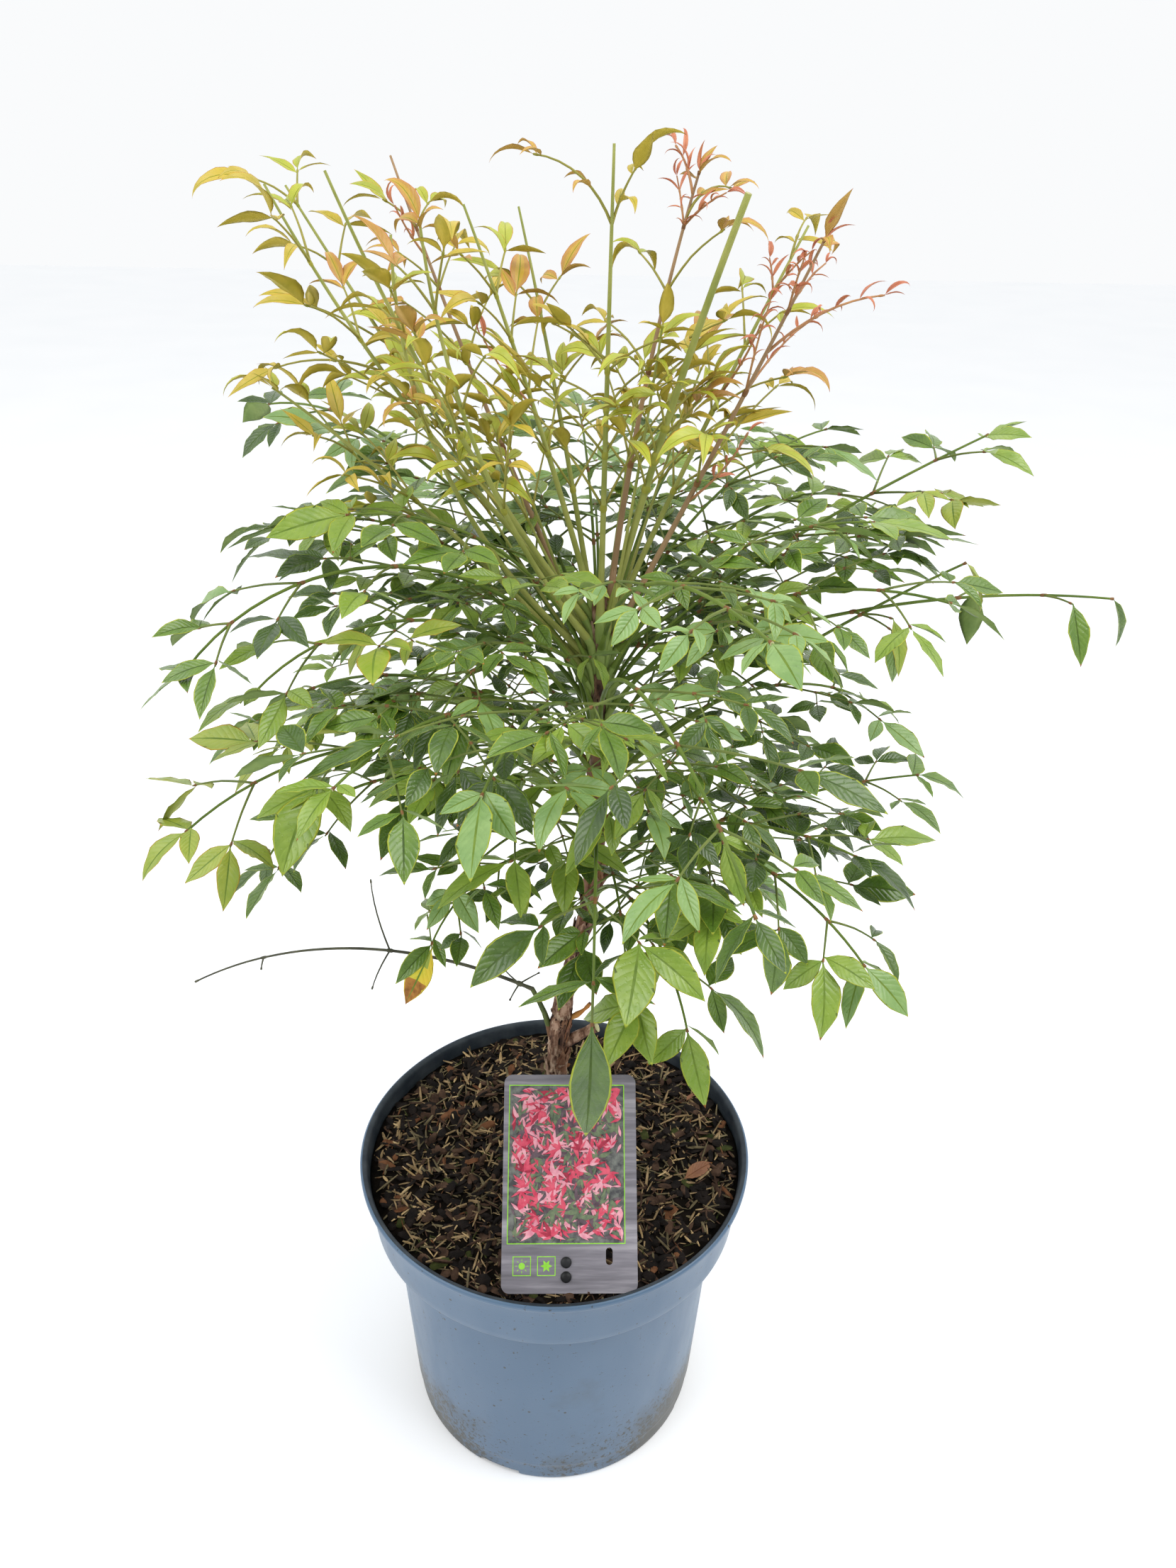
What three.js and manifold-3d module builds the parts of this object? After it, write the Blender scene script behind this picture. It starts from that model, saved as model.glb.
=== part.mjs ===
// Heavenly bamboo (Nandina) in its nursery pot, with the plant label on a peg.
// Millimetres, +Z up. The origin is the centre of the pot's flat underside,
// +Y is the back of the plant and +X its right side.
// One upright trunk carries long compound leaves (fronds). Each frond is a stalk that
// rises and arches out, then a stem with opposite side twigs that end in three leaflets.
import * as THREE from 'three';
import { mergeVertices } from 'three/addons/utils/BufferGeometryUtils.js';
import Module from 'manifold-3d';

const wasm = await Module();
wasm.setup();

// ---------------------------------------------------------------- sizes
const GAP = 0.3; // clearance between neighbouring solids

const POT_HEIGHT = 209;
const POT_BASE_RADIUS = 99;
const POT_NECK_RADIUS = 109; // body just under the collar
const POT_COLLAR_RADIUS = 121;
const POT_RIM_RADIUS = 128;
const POT_COLLAR_HEIGHT = 41;
const POT_WALL = 2;
const POT_LIP = 3; // roll of the rim
const POT_FOOT_LINE = 16; // height of the moulded line above the foot
const POT_EDGE = 2; // chamfer round the underside
const POT_STEP = 0.7; // the body above the moulded line stands out by this much
const POT_SIDES = 32;
const NOTCH_COUNT = 4; // drain notches in the foot
const NOTCH_TURN = 68; // degrees from +X to the first notch
const NOTCH_WIDTH = 28;
const NOTCH_HEIGHT = 4.5;
const NOTCH_DEPTH = 6;
const DRAIN_COUNT = 5;
const DRAIN_RADIUS = 7;
const DRAIN_RING = 52;
const DRAIN_SIDES = 8;

const SOIL_LEVEL = 200;
const SOIL_MOUND = 2.4; // height of the lumps in the compost
const SOIL_SEAT = 16; // level patch round the trunk
const SOIL_FADE = 24; // width over which the lumps rise from that patch
const SOIL_SIDES = 24;
const SOIL_RINGS = 4;

const LABEL_WIDTH = 80;
const LABEL_LENGTH = 124;
const LABEL_THICK = 0.8;
const LABEL_CORNER = 5;
const LABEL_LEAN = 46; // degrees from the level
const LABEL_FOOT = new THREE.Vector3(8.5, -113, 203);
const LABEL_HOLE = 2.4; // radius of the two punched holes
const LABEL_HOLES = [[-2, 9], [-2, 17]]; // across and along the label, from its foot
const PEG_WIDTH = 9;
const PEG_THICK = 2.4;
const PEG_BEND = 6; // where the peg reaches the label, above the label's foot
const PEG_ABOVE = 34; // where it ends behind the label
const PEG_BELOW = 26; // depth of the peg in the compost, which ends above the collar's ledge
const PEG_POINT = 8; // length of its point

// Trunk centre line as [x, y, z]: upright at the foot, a slanting step, upright again.
const TRUNK_LINE = [
  [0, 0, 200.3], [0, 0, 212], [0, 0, 240], [0.6, 0, 275], [2, 0, 305], [5, 0, 335],
  [12, 0, 368], [18.5, 0, 398], [21.6, 0, 428], [22, 0, 500], [21, 0, 592],
];
// Trunk radius at heights above the pot's underside: root flare, then an even taper.
const TRUNK_RADII = [[200, 9.4], [212, 7.4], [240, 6.4], [340, 4.7], [592, 4.1]];
const TRUNK_SIDES = 12;

// Limbs on the trunk that carry no leaves. start: point on the trunk, or foot: height on it;
// way, rise, fall, sweep and length as in a frond; radii: at its two ends; knee: where the
// bare twig bends away from the trunk.
const BROKEN_SHOOT = { start: [0, 0, 288], way: -8, rise: 50, fall: 30, length: 34, radii: [3.6, 3.1] };
const WITHERED_STALK = { start: [2, 0, 312], way: -12, rise: 25, fall: 62, length: 26, radii: [1.6, 0.9] };
const BARE_TWIG = { foot: 309, knee: [-15, 0, 337], way: 177, rise: 26, fall: -30, sweep: 4, length: 215 };
// Its spurs: place along it, compass angle, angle above the level, bend and length.
const SPURS = [
  [0.04, 200, 50, 10, 17],
  [0.04, 20, 24, -6, 14],
  [0.04, 230, -30, -20, 12],
  [0.42, 140, 62, 28, 48],
  [0.42, 215, -50, -20, 27],
  [0.78, 190, -70, -10, 9],
];

const STALK_RADIUS = 1.9;
const STALK_TIP_RADIUS = 1.3;
const STALK_SIDES = 5;
const STEM_RADIUS = 1.5;
const STEM_TIP_RADIUS = 1.2;
const TWIG_RADIUS = 0.6;
const FROND_STEPS = 24; // straight steps in a frond's centre line
const TWIG_STEPS = 4;
const CLOSER = 0.82; // each space between two pairs of side twigs, over the one below it
const SHORTER = 0.75; // how much of their length the side twigs lose towards the tip
const LAST_REACH = 0.45; // length of the pair at a trimmed tip, over the lowest pair's
const FIRST_SEED = 1000;
const SEED_STEP = 37;
const TWIG_SIDES = 3;
const STEM_LEAD = 8; // length of stem between a stalk's end and the first side twigs
const ROOM = 0.35; // room kept round each twig and leaflet
const ROOT_STEP = 1.8; // distance between the roots of leaflets that share a joint
const LEAF_THICK = 0.9; // height of a leaflet's ridge
const LEAF_SINK = 0.1; // how far a side leaflet's root reaches past its twig's axis
const LEAF_BELLY = 0.43; // widest place along the leaf
const SIDE_LEAF = 0.88; // length of side leaflets over the style's
const END_LEAF = 1.1;
const STEEPEST = 80; // no leaflet stands or hangs steeper than this

// ---------------------------------------------------------------- colours
const COLOURS = {
  pot: [0x66798d, 0.42],
  soil: [0x38271c, 0.95],
  label: [0x6b6970, 0.35],
  peg: [0x1c1d1f, 0.5],
  bark: [0x6a4a38, 0.85],
  stalk: [0x8ba044, 0.5],
  twig: [0x6f7158, 0.6],
  young: [0xb8a83c, 0.45],
  old: [0x4b7a30, 0.4],
  front: [0x63923a, 0.4],
};

// ---------------------------------------------------------------- growth styles
// turn: side leaflets from their twig; level: share of the twig's slope that they keep;
// hang and loose: their droop and its scatter; slim: width over length; spread, lift and
// droop: side twigs; coarse: side leaflets that the lowest twigs have in the solids, one
// fewer at each pair above; degrees and millimetres.
const STYLES = {
  old: {
    turn: 58, level: 0.5, hang: 4, loose: 20, slim: 0.42, leaf: 35,
    spread: 54, lift: 4, droop: 18, shortest: 22, pairsFrom: 46, coarse: 3,
  },
  young: {
    turn: 50, level: 0.55, hang: -4, loose: 28, slim: 0.37, leaf: 27,
    spread: 44, lift: 10, droop: 22, shortest: 20, pairsFrom: 48, coarse: 2,
  },
  front: {
    turn: 58, level: 0.7, hang: 8, loose: 20, slim: 0.42, leaf: 37,
    spread: 52, lift: 4, droop: 18, shortest: 24, pairsFrom: 50, coarse: 3,
  },
};

// foot: height on the trunk; way: compass angle from +X towards +Y; rise and fall: angle
// above the level at the foot and at the tip; bare: share of the length before the first
// pair; reach: length of the lowest side twigs; cut: share of the tip that is trimmed bare;
// lone: single side twigs with a single leaflet each.
const frond = (name, style, foot, way, length, rise, fall, bare, pairs, reach, more = {}) => ({
  name, style, foot, way, length, rise, fall, bare, pairs, reach,
  sweep: 0, cut: 0, stalk: false, lone: false, ...more,
});

// Young fronds of the crown, upright and mostly trimmed.
const TOP = [
  frond('top_1', 'young', 582, 173, 245, 44, 62, 0.50, 2, 66, { cut: 0.15, stalk: true }),
  frond('top_2', 'young', 557, 189, 226, 44, 92, 0.62, 1, 46, { cut: 0.35 }),
  frond('top_3', 'young', 568, 149, 274, 46, 51, 0.46, 3, 60, { cut: 0.04, stalk: true }),
  frond('top_4', 'young', 575, 200, 238, 54, 68, 0.50, 2, 60, { cut: 0.3, stalk: true }),
  frond('top_5', 'young', 559, 133, 276, 52, 60, 0.42, 3, 56, { cut: 0.14 }),
  frond('top_6', 'young', 566, 217, 222, 50, 84, 0.42, 3, 56),
  frond('top_7', 'young', 589, 150, 192, 71, 65, 0.38, 3, 60, { cut: 0.22, stalk: true }),
  frond('top_8', 'young', 574, 116, 212, 68, 60, 0.32, 2, 54, { cut: 0.25 }),
  frond('top_9', 'young', 578, 270, 217, 84, 80, 0.28, 3, 62, { cut: 0.42, stalk: true }),
  frond('top_10', 'young', 582, 42, 208, 82, 68, 0.35, 4, 58, { stalk: true }),
  frond('top_11', 'young', 580, 316, 208, 74, 67, 0.35, 2, 52, { cut: 0.5, stalk: true }),
  frond('top_12', 'young', 572, 28, 216, 63, 58, 0.35, 3, 60, { cut: 0.16, stalk: true }),
  frond('top_13', 'young', 566, 336, 214, 64, 66, 0.45, 3, 70, { stalk: true }),
  frond('left_1', 'young', 547, 180, 208, 50, 36, 0.6, 1, 52),
];

// Mature fronds that arch out on all sides.
const LEFT = [
  frond('left_2', 'old', 543, 143, 290, 53, -12, 0.55, 2, 58, { sweep: -5 }),
  frond('left_3', 'old', 528, 153, 235, 49, -20, 0.4, 3, 70),
  frond('left_4', 'old', 540, 204, 244, 62, -48, 0.55, 3, 46, { sweep: 4, stalk: true }),
  frond('left_5', 'front', 465, 207, 240, 50, -36, 0.4, 3, 70),
  frond('left_6', 'old', 440, 192, 212, 56, -60, 0.4, 3, 62),
  frond('left_7', 'old', 495, 173, 200, 43, -42, 0.35, 3, 78),
  frond('left_8', 'old', 514, 205, 212, 66, -42, 0.35, 3, 78),
];
const RIGHT = [
  frond('right_1', 'old', 557, 14, 230, 32, 22, 0.5, 3, 54, { stalk: true }),
  frond('right_2', 'old', 540, -3, 262, 26, -4, 0.5, 3, 24, { hang: 50, stalk: true, lone: true }),
  frond('right_3', 'old', 484, -11, 218, 45, 31, 0.75, 1, 20, { hang: 60, lone: true }),
  frond('right_4', 'old', 478, 15, 178, 50, -34, 0.4, 3, 72),
  frond('right_5', 'old', 420, 3, 190, 32, 4, 0.4, 3, 52),
  frond('right_6', 'old', 432, -36, 165, 47, -10, 0.4, 3, 70),
  frond('right_7', 'front', 450, -50, 188, 36, -42, 0.45, 3, 54, { sweep: 8 }),
  frond('right_8', 'old', 541, 36, 235, 56, -30, 0.4, 3, 84),
  frond('right_9', 'old', 526, -27, 200, 58, -8, 0.4, 3, 84),
];
const FRONT = [
  frond('front_1', 'front', 462, -92, 175, 44, -50, 0.5, 2, 44, { leaf: 46 }),
  frond('front_2', 'front', 522, -90, 270, 48, -40, 0.5, 3, 58, { sweep: 22 }),
  frond('front_3', 'front', 410, -74, 150, 50, -62, 0.45, 2, 46, { sweep: 8, leaf: 42 }),
  frond('front_4', 'front', 490, 236, 222, 54, -18, 0.45, 3, 78),
  frond('front_5', 'front', 562, -86, 240, 45, -6, 0.5, 3, 50, { sweep: 17, leaf: 25 }),
  frond('front_6', 'front', 504, -106, 205, 52, -18, 0.4, 3, 80),
];
const BACK = [
  frond('back_1', 'old', 550, 68, 240, 55, -20, 0.4, 3, 90),
  frond('back_2', 'old', 536, 108, 240, 50, -28, 0.4, 3, 90),
  frond('back_3', 'old', 490, 86, 225, 45, -35, 0.4, 3, 88),
  frond('back_4', 'old', 450, 135, 215, 45, -40, 0.4, 3, 80),
  frond('back_5', 'old', 410, 55, 200, 45, -35, 0.4, 3, 76),
];
const FRONDS = [...TOP, ...LEFT, ...RIGHT, ...FRONT, ...BACK];

// ---------------------------------------------------------------- small maths
const rad = THREE.MathUtils.degToRad;
const deg = THREE.MathUtils.radToDeg;

// Seeded random numbers, so that every build grows the same plant.
class Dice {
  constructor(seed) {
    this.state = seed >>> 0;
  }

  roll() {
    this.state = (this.state + 0x6d2b79f5) >>> 0;
    let t = this.state;
    t = Math.imul(t ^ (t >>> 15), t | 1);
    t ^= t + Math.imul(t ^ (t >>> 7), t | 61);
    return ((t ^ (t >>> 14)) >>> 0) / 4294967296;
  }

  near(middle, spread) {
    return middle + (2 * this.roll() - 1) * spread;
  }
}

function heading(way, tilt) {
  const flat = Math.cos(rad(tilt));
  return new THREE.Vector3(flat * Math.cos(rad(way)), flat * Math.sin(rad(way)), Math.sin(rad(tilt)));
}

function anglesOf(v) {
  const unit = v.clone().normalize();
  return [deg(Math.atan2(unit.y, unit.x)), deg(Math.asin(THREE.MathUtils.clamp(unit.z, -1, 1)))];
}

function turned(direction, side, angle) {
  const ahead = direction.clone().multiplyScalar(Math.cos(rad(angle)));
  return ahead.addScaledVector(side, Math.sin(rad(angle))).normalize();
}

function readTable(table, at, column) {
  const last = table.length - 1;
  if (at <= table[0][0]) return table[0][column];
  if (at >= table[last][0]) return table[last][column];
  const i = table.findIndex((row) => row[0] > at);
  const share = (at - table[i - 1][0]) / (table[i][0] - table[i - 1][0]);
  return THREE.MathUtils.lerp(table[i - 1][column], table[i][column], share);
}

const TRUNK_BY_HEIGHT = TRUNK_LINE.map(([x, y, z]) => [z, x, y]);
const trunkRadius = (z) => readTable(TRUNK_RADII, z, 1);

function trunkAxis(z) {
  return new THREE.Vector3(readTable(TRUNK_BY_HEIGHT, z, 1), readTable(TRUNK_BY_HEIGHT, z, 2), z);
}

// A limb's centre line: it starts at an angle above the level and bends evenly to another.
class Arc {
  constructor(start, way, rise, fall, sweep, length, steps) {
    Object.assign(this, { way, rise, fall, sweep, length, steps });
    this.points = [start.clone()];
    for (let i = 0; i < steps; i += 1) {
      const next = this.points[i].clone().addScaledVector(this.direction((i + 0.5) / steps), length / steps);
      this.points.push(next);
    }
  }

  direction(t) {
    return heading(this.way + this.sweep * t, this.rise + (this.fall - this.rise) * t ** 1.2);
  }

  side(t) {
    const way = rad(this.way + this.sweep * t);
    return new THREE.Vector3(Math.sin(way), -Math.cos(way), 0);
  }

  at(t) {
    const x = Math.min(t, 1) * this.steps;
    const i = Math.min(Math.floor(x), this.steps - 1);
    return this.points[i].clone().lerp(this.points[i + 1], x - i);
  }
}

// ---------------------------------------------------------------- solids
const toSolid = (vertProperties, triVerts) => new wasm.Manifold(new wasm.Mesh({
  numProp: 3,
  vertProperties: Float32Array.from(vertProperties),
  triVerts: Uint32Array.from(triVerts),
}));

function solidOf(geometry) {
  const bare = geometry.clone();
  bare.deleteAttribute('normal');
  bare.deleteAttribute('uv');
  const merged = mergeVertices(bare, 1e-3);
  return toSolid(merged.attributes.position.array, merged.index.array);
}

function geometryOf(solid) {
  const mesh = solid.getMesh();
  const geometry = new THREE.BufferGeometry();
  geometry.setAttribute('position', new THREE.BufferAttribute(Float32Array.from(mesh.vertProperties), 3));
  geometry.setIndex(new THREE.BufferAttribute(Uint32Array.from(mesh.triVerts), 1));
  geometry.computeVertexNormals();
  return geometry;
}

const union = (solids) => wasm.Manifold.union(solids);

// The largest connected piece; loose scraps are dropped.
function largest(solid) {
  const pieces = solid.decompose();
  return pieces.reduce((best, piece) => (piece.volume() > best.volume() ? piece : best));
}

// A closed skin over rings of equally many corners, that may start and end in a point.
function loft(rings, startPoint, endPoint) {
  const sides = rings[0].length;
  const corners = rings.flat();
  const faces = [];
  for (let i = 0; i + 1 < rings.length; i += 1) {
    for (let k = 0; k < sides; k += 1) {
      const a = i * sides + k;
      const b = i * sides + ((k + 1) % sides);
      faces.push(a, b, b + sides, a, b + sides, a + sides);
    }
  }
  const end = (rings.length - 1) * sides;
  const close = (point, first, flip) => {
    if (point) corners.push(point);
    for (let k = point ? 0 : 1; k < (point ? sides : sides - 1); k += 1) {
      const apex = point ? corners.length - 1 : first;
      const pair = [first + k, first + ((k + 1) % sides)];
      faces.push(apex, ...(flip ? pair.reverse() : pair));
    }
  };
  close(startPoint, 0, true);
  close(endPoint, end, false);
  return toSolid(corners.flatMap((c) => [c.x, c.y, c.z]), faces);
}

function ringsAlong(points, radii, sides, firstAcross) {
  const ahead = points.map((_, i) => {
    const from = points[Math.max(i - 1, 0)];
    const to = points[Math.min(i + 1, points.length - 1)];
    return to.clone().sub(from).normalize();
  });
  const upright = Math.abs(ahead[0].z) < 0.9 ? new THREE.Vector3(0, 0, 1) : new THREE.Vector3(1, 0, 0);
  let across = firstAcross ?? upright.cross(ahead[0]).normalize();
  return points.map((point, i) => {
    across = across.clone().addScaledVector(ahead[i], -across.dot(ahead[i])).normalize();
    const up = ahead[i].clone().cross(across);
    return Array.from({ length: sides }, (_, k) => {
      const angle = (2 * Math.PI * k) / sides;
      const corner = point.clone().addScaledVector(across, radii[i] * Math.cos(angle));
      return corner.addScaledVector(up, radii[i] * Math.sin(angle));
    });
  });
}

const rod = (points, radii, sides) => loft(ringsAlong(points, radii, sides));

function taper(count, from, to) {
  return Array.from({ length: count }, (_, i) => from + ((to - from) * i) / (count - 1));
}

// The widest place of a leaflet, flat below with a low ridge above, and its tip.
function leafShape({ root, along, across, face, length, width }, room = 0) {
  const belly = root.clone().addScaledVector(along, length * LEAF_BELLY);
  const ring = [
    belly.clone().addScaledVector(across, width / 2 + room),
    belly.clone().addScaledVector(face, LEAF_THICK + room),
    belly.clone().addScaledVector(across, -width / 2 - room),
  ];
  if (room) ring.forEach((corner) => corner.addScaledVector(face, -room / 2));
  return { ring, tip: root.clone().addScaledVector(along, length + room) };
}

// A side leaflet, whose root is a point inside its twig.
function leafSolid(leaf, room = 0) {
  const { ring, tip } = leafShape(leaf, room);
  return loft([ring], leaf.root.clone().addScaledVector(leaf.along, -LEAF_SINK), tip);
}

// A twig or stem that runs on into its end leaflet.
function leafEnded(rings, leaf) {
  const { ring, tip } = leafShape(leaf);
  return loft([...rings, ring], null, tip);
}

function trunkClearance(p) {
  const axis = trunkAxis(p.z);
  return Math.hypot(p.x - axis.x, p.y - axis.y) - trunkRadius(p.z);
}

// Brings the foot of a limb up to the trunk, until its first ring is GAP clear of the bark.
function seated(rings, way) {
  const foot = rings[0];
  for (let i = 0; i < 3; i += 1) {
    const middles = foot.map((corner, k) => corner.clone().lerp(foot[(k + 1) % foot.length], 0.5));
    const clear = Math.min(...[...foot, ...middles].map(trunkClearance));
    foot.forEach((corner) => corner.addScaledVector(heading(way, 0), GAP - clear));
  }
  return rings;
}

// ---------------------------------------------------------------- the growth rule
function growLeaf(dice, root, direction, side, turn, hang, length, { level, slim }) {
  const [way, tilt] = anglesOf(turned(direction, side, turn));
  const along = heading(way, THREE.MathUtils.clamp(tilt * level - hang, -STEEPEST, STEEPEST));
  const up = Math.abs(along.z) < 0.97 ? new THREE.Vector3(0, 0, 1) : heading(way, 0);
  const across = along.clone().cross(up).normalize();
  const flat = across.clone().cross(along);
  const roll = rad(dice.near(0, 38));
  const face = flat.multiplyScalar(Math.cos(roll)).addScaledVector(across, Math.sin(roll));
  const real = length * dice.near(1, 0.22);
  return {
    root, along, across: face.clone().cross(along), face,
    length: real, width: real * slim * dice.near(1, 0.15),
  };
}

// Two opposite leaflets. The first `coarse` of them are part of the solids.
function growPair(dice, leaves, arc, t, rule, coarse) {
  [1, -1].forEach((sign, i) => {
    const turn = sign * dice.near(rule.turn, 14);
    const hang = dice.near(rule.hang, rule.loose);
    const place = t - ((1 + i) * ROOT_STEP) / arc.length;
    const size = rule.leaf * SIDE_LEAF;
    const leaf = growLeaf(dice, arc.at(place), arc.direction(t), arc.side(t), turn, hang, size, rule);
    leaves.push({ ...leaf, coarse: i < coarse });
  });
}

function growEndLeaf(dice, arc, rule) {
  const turn = dice.near(0, 14);
  const hang = dice.near(rule.hang, rule.loose);
  const size = rule.leaf * END_LEAF;
  return growLeaf(dice, arc.at(1), arc.direction(1), arc.side(1), turn, hang, size, rule);
}

// A side twig with three leaflets at its end, and a finer pair half way along a long one.
function growTwig(dice, arc, t, sign, reach, rule, coarse) {
  const turn = dice.near(rule.spread, 9);
  const [way, tilt] = anglesOf(turned(arc.direction(t), arc.side(t), sign * turn));
  const rise = tilt + dice.near(rule.lift, 8);
  const length = Math.max(reach, rule.shortest) * dice.near(1, 0.15);
  const twig = new Arc(arc.at(t), way, rise, rise - dice.near(rule.droop, 10), 0, length, TWIG_STEPS);
  const leaves = [];
  if (length > rule.pairsFrom) growPair(dice, leaves, twig, 0.55, rule, 0);
  growPair(dice, leaves, twig, 1, rule, coarse);
  return { arc: twig, leaves, end: growEndLeaf(dice, twig, rule) };
}

// Where a limb's centre line starts, so that its side stands 0.3 mm clear of the trunk.
function frondStart(foot, way) {
  return trunkAxis(foot).addScaledVector(heading(way, 0), trunkRadius(foot) + STALK_RADIUS + GAP);
}

function frondArc({ foot, way, rise, fall, sweep, length }) {
  return new Arc(frondStart(foot, way), way, rise, fall, sweep, length, FROND_STEPS);
}

function growFrond(plan, index) {
  const dice = new Dice(FIRST_SEED + SEED_STEP * index);
  const rule = { ...STYLES[plan.style], ...plan };
  const arc = frondArc(plan);
  const sides = [];
  const nodes = [];
  const last = 1 - plan.cut;
  for (let k = 0; k <= plan.pairs; k += 1) {
    const share = (1 - CLOSER ** k) / (1 - CLOSER ** plan.pairs);
    const t = plan.bare + (last - plan.bare) * share;
    const reach = plan.reach * (k === plan.pairs ? LAST_REACH : 1 - (SHORTER * k) / plan.pairs);
    nodes.push(t);
    if (k < plan.pairs || plan.cut) {
      const signs = plan.lone ? [1 - 2 * (k % 2)] : [1, -1];
      const coarse = plan.lone ? 0 : rule.coarse - k;
      signs.forEach((sign) => sides.push(growTwig(dice, arc, t, sign, reach, rule, coarse)));
    }
  }
  const tip = { leaves: [], end: null };
  if (!plan.cut) {
    growPair(dice, tip.leaves, arc, 1, rule, plan.lone ? 0 : 2);
    tip.end = growEndLeaf(dice, arc, rule);
  }
  return { plan, arc, nodes, sides, tip };
}

// ---------------------------------------------------------------- limbs and masses
const taken = []; // solids that are already placed, with their boxes and owners

function boxOf(solid) {
  const { min, max } = solid.boundingBox();
  return new THREE.Box3(new THREE.Vector3(...min), new THREE.Vector3(...max));
}

function claim(owner, solid) {
  taken.push({ owner, solid, box: boxOf(solid) });
  return solid;
}

function isFree(owner, solid) {
  const box = boxOf(solid);
  return taken.every((other) => other.owner === owner || !other.box.intersectsBox(box)
    || other.solid.intersect(solid).isEmpty());
}

const stalkEnd = ({ plan }) => (plan.stalk ? plan.bare - STEM_LEAD / plan.length : 0);

function stalkSolid(grown) {
  const end = stalkEnd(grown);
  const points = taper(5, 0, end).map((t) => grown.arc.at(t));
  const rings = ringsAlong(points, taper(5, STALK_RADIUS, STALK_TIP_RADIUS), STALK_SIDES);
  return loft(seated(rings, grown.plan.way));
}

// The stem of a mass, with a corner at each pair of side twigs.
function stemStops(grown) {
  const { plan, nodes } = grown;
  const start = plan.stalk ? stalkEnd(grown) + GAP / plan.length : 0;
  const lead = plan.stalk ? [start] : taper(4, 0, plan.bare).slice(0, 3);
  return [...lead, ...nodes, ...(plan.cut ? [1] : [])];
}

function stemSolid(grown) {
  const stops = stemStops(grown);
  const root = grown.plan.stalk ? STEM_RADIUS : STALK_RADIUS;
  const radii = stops.map((t) => root + (STEM_TIP_RADIUS - root) * ((t - stops[0]) / (1 - stops[0])));
  const { end } = grown.tip;
  const rings = ringsAlong(stops.map((t) => grown.arc.at(t)), radii, TWIG_SIDES, end?.across);
  if (!grown.plan.stalk) seated(rings, grown.plan.way);
  return end ? leafEnded(rings, end) : loft(rings);
}

function massSolid(grown, stem) {
  const { name } = grown.plan;
  const thick = TWIG_RADIUS;
  const parts = [stem];
  const addLeaves = (leaves) => leaves.filter((leaf) => leaf.coarse).forEach((leaf) => {
    if (isFree(name, leafSolid(leaf, ROOM))) parts.push(leafSolid(leaf));
  });
  grown.sides.forEach(({ arc, leaves, end }) => {
    const ends = [arc.at(0), arc.at(1)];
    if (!isFree(name, rod(ends, [thick + ROOM, thick + ROOM], TWIG_SIDES))) return;
    const rings = ringsAlong(ends, [thick, thick], TWIG_SIDES, end.across);
    parts.push(isFree(name, leafSolid(end, ROOM)) ? leafEnded(rings, end) : loft(rings));
    addLeaves(leaves);
  });
  addLeaves(grown.tip.leaves);
  return largest(union(parts));
}

// ---------------------------------------------------------------- pot, compost, label
function potSolid() {
  const neck = POT_HEIGHT - POT_COLLAR_HEIGHT;
  const lineRadius = THREE.MathUtils.lerp(POT_BASE_RADIUS, POT_NECK_RADIUS, POT_FOOT_LINE / neck);
  const profile = [
    [0, 0], [POT_BASE_RADIUS - POT_EDGE, 0], [POT_BASE_RADIUS, POT_EDGE],
    [lineRadius, POT_FOOT_LINE], [lineRadius + POT_STEP, POT_FOOT_LINE + 1],
    [POT_NECK_RADIUS, neck - 1.5], [POT_COLLAR_RADIUS, neck],
    [POT_RIM_RADIUS - POT_LIP, POT_HEIGHT - 5], [POT_RIM_RADIUS, POT_HEIGHT - 3.5],
    [POT_RIM_RADIUS, POT_HEIGHT - 1], [POT_RIM_RADIUS - 1.5, POT_HEIGHT],
    [POT_RIM_RADIUS - POT_LIP - POT_WALL, POT_HEIGHT - 0.8],
    [POT_COLLAR_RADIUS - POT_WALL, neck + 2], [POT_NECK_RADIUS - POT_WALL, neck + 0.5],
    [POT_BASE_RADIUS - POT_WALL, POT_WALL], [0, POT_WALL],
  ].map(([r, z]) => new THREE.Vector2(r, z));
  const turnedUp = new THREE.LatheGeometry(profile, POT_SIDES).rotateX(Math.PI / 2);
  let pot = solidOf(turnedUp);
  for (let i = 0; i < NOTCH_COUNT; i += 1) {
    const angle = THREE.MathUtils.degToRad(NOTCH_TURN + (360 * i) / NOTCH_COUNT);
    const notch = new THREE.BoxGeometry(2 * NOTCH_DEPTH, NOTCH_WIDTH, 2 * NOTCH_HEIGHT);
    notch.translate(POT_BASE_RADIUS, 0, 0).rotateZ(angle);
    pot = pot.subtract(solidOf(notch));
  }
  for (let i = 0; i < DRAIN_COUNT; i += 1) {
    const angle = (2 * Math.PI * i) / DRAIN_COUNT;
    const drain = new THREE.CylinderGeometry(DRAIN_RADIUS, DRAIN_RADIUS, 4 * POT_WALL, DRAIN_SIDES);
    drain.rotateX(Math.PI / 2);
    drain.translate(DRAIN_RING * Math.cos(angle), DRAIN_RING * Math.sin(angle), 0);
    pot = pot.subtract(solidOf(drain));
  }
  return pot;
}

// Low lumps in the compost, level round the trunk and at the wall.
function soilHeight(x, y) {
  const r = Math.hypot(x, y);
  const lumps = Math.sin(x * 0.061 + 1.2) * Math.cos(y * 0.053) + 0.5 * Math.sin((x - y) * 0.12 + 0.4);
  const fade = THREE.MathUtils.smoothstep(r, SOIL_SEAT, SOIL_SEAT + SOIL_FADE);
  return SOIL_LEVEL + SOIL_MOUND * 0.6 * lumps * fade;
}

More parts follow.
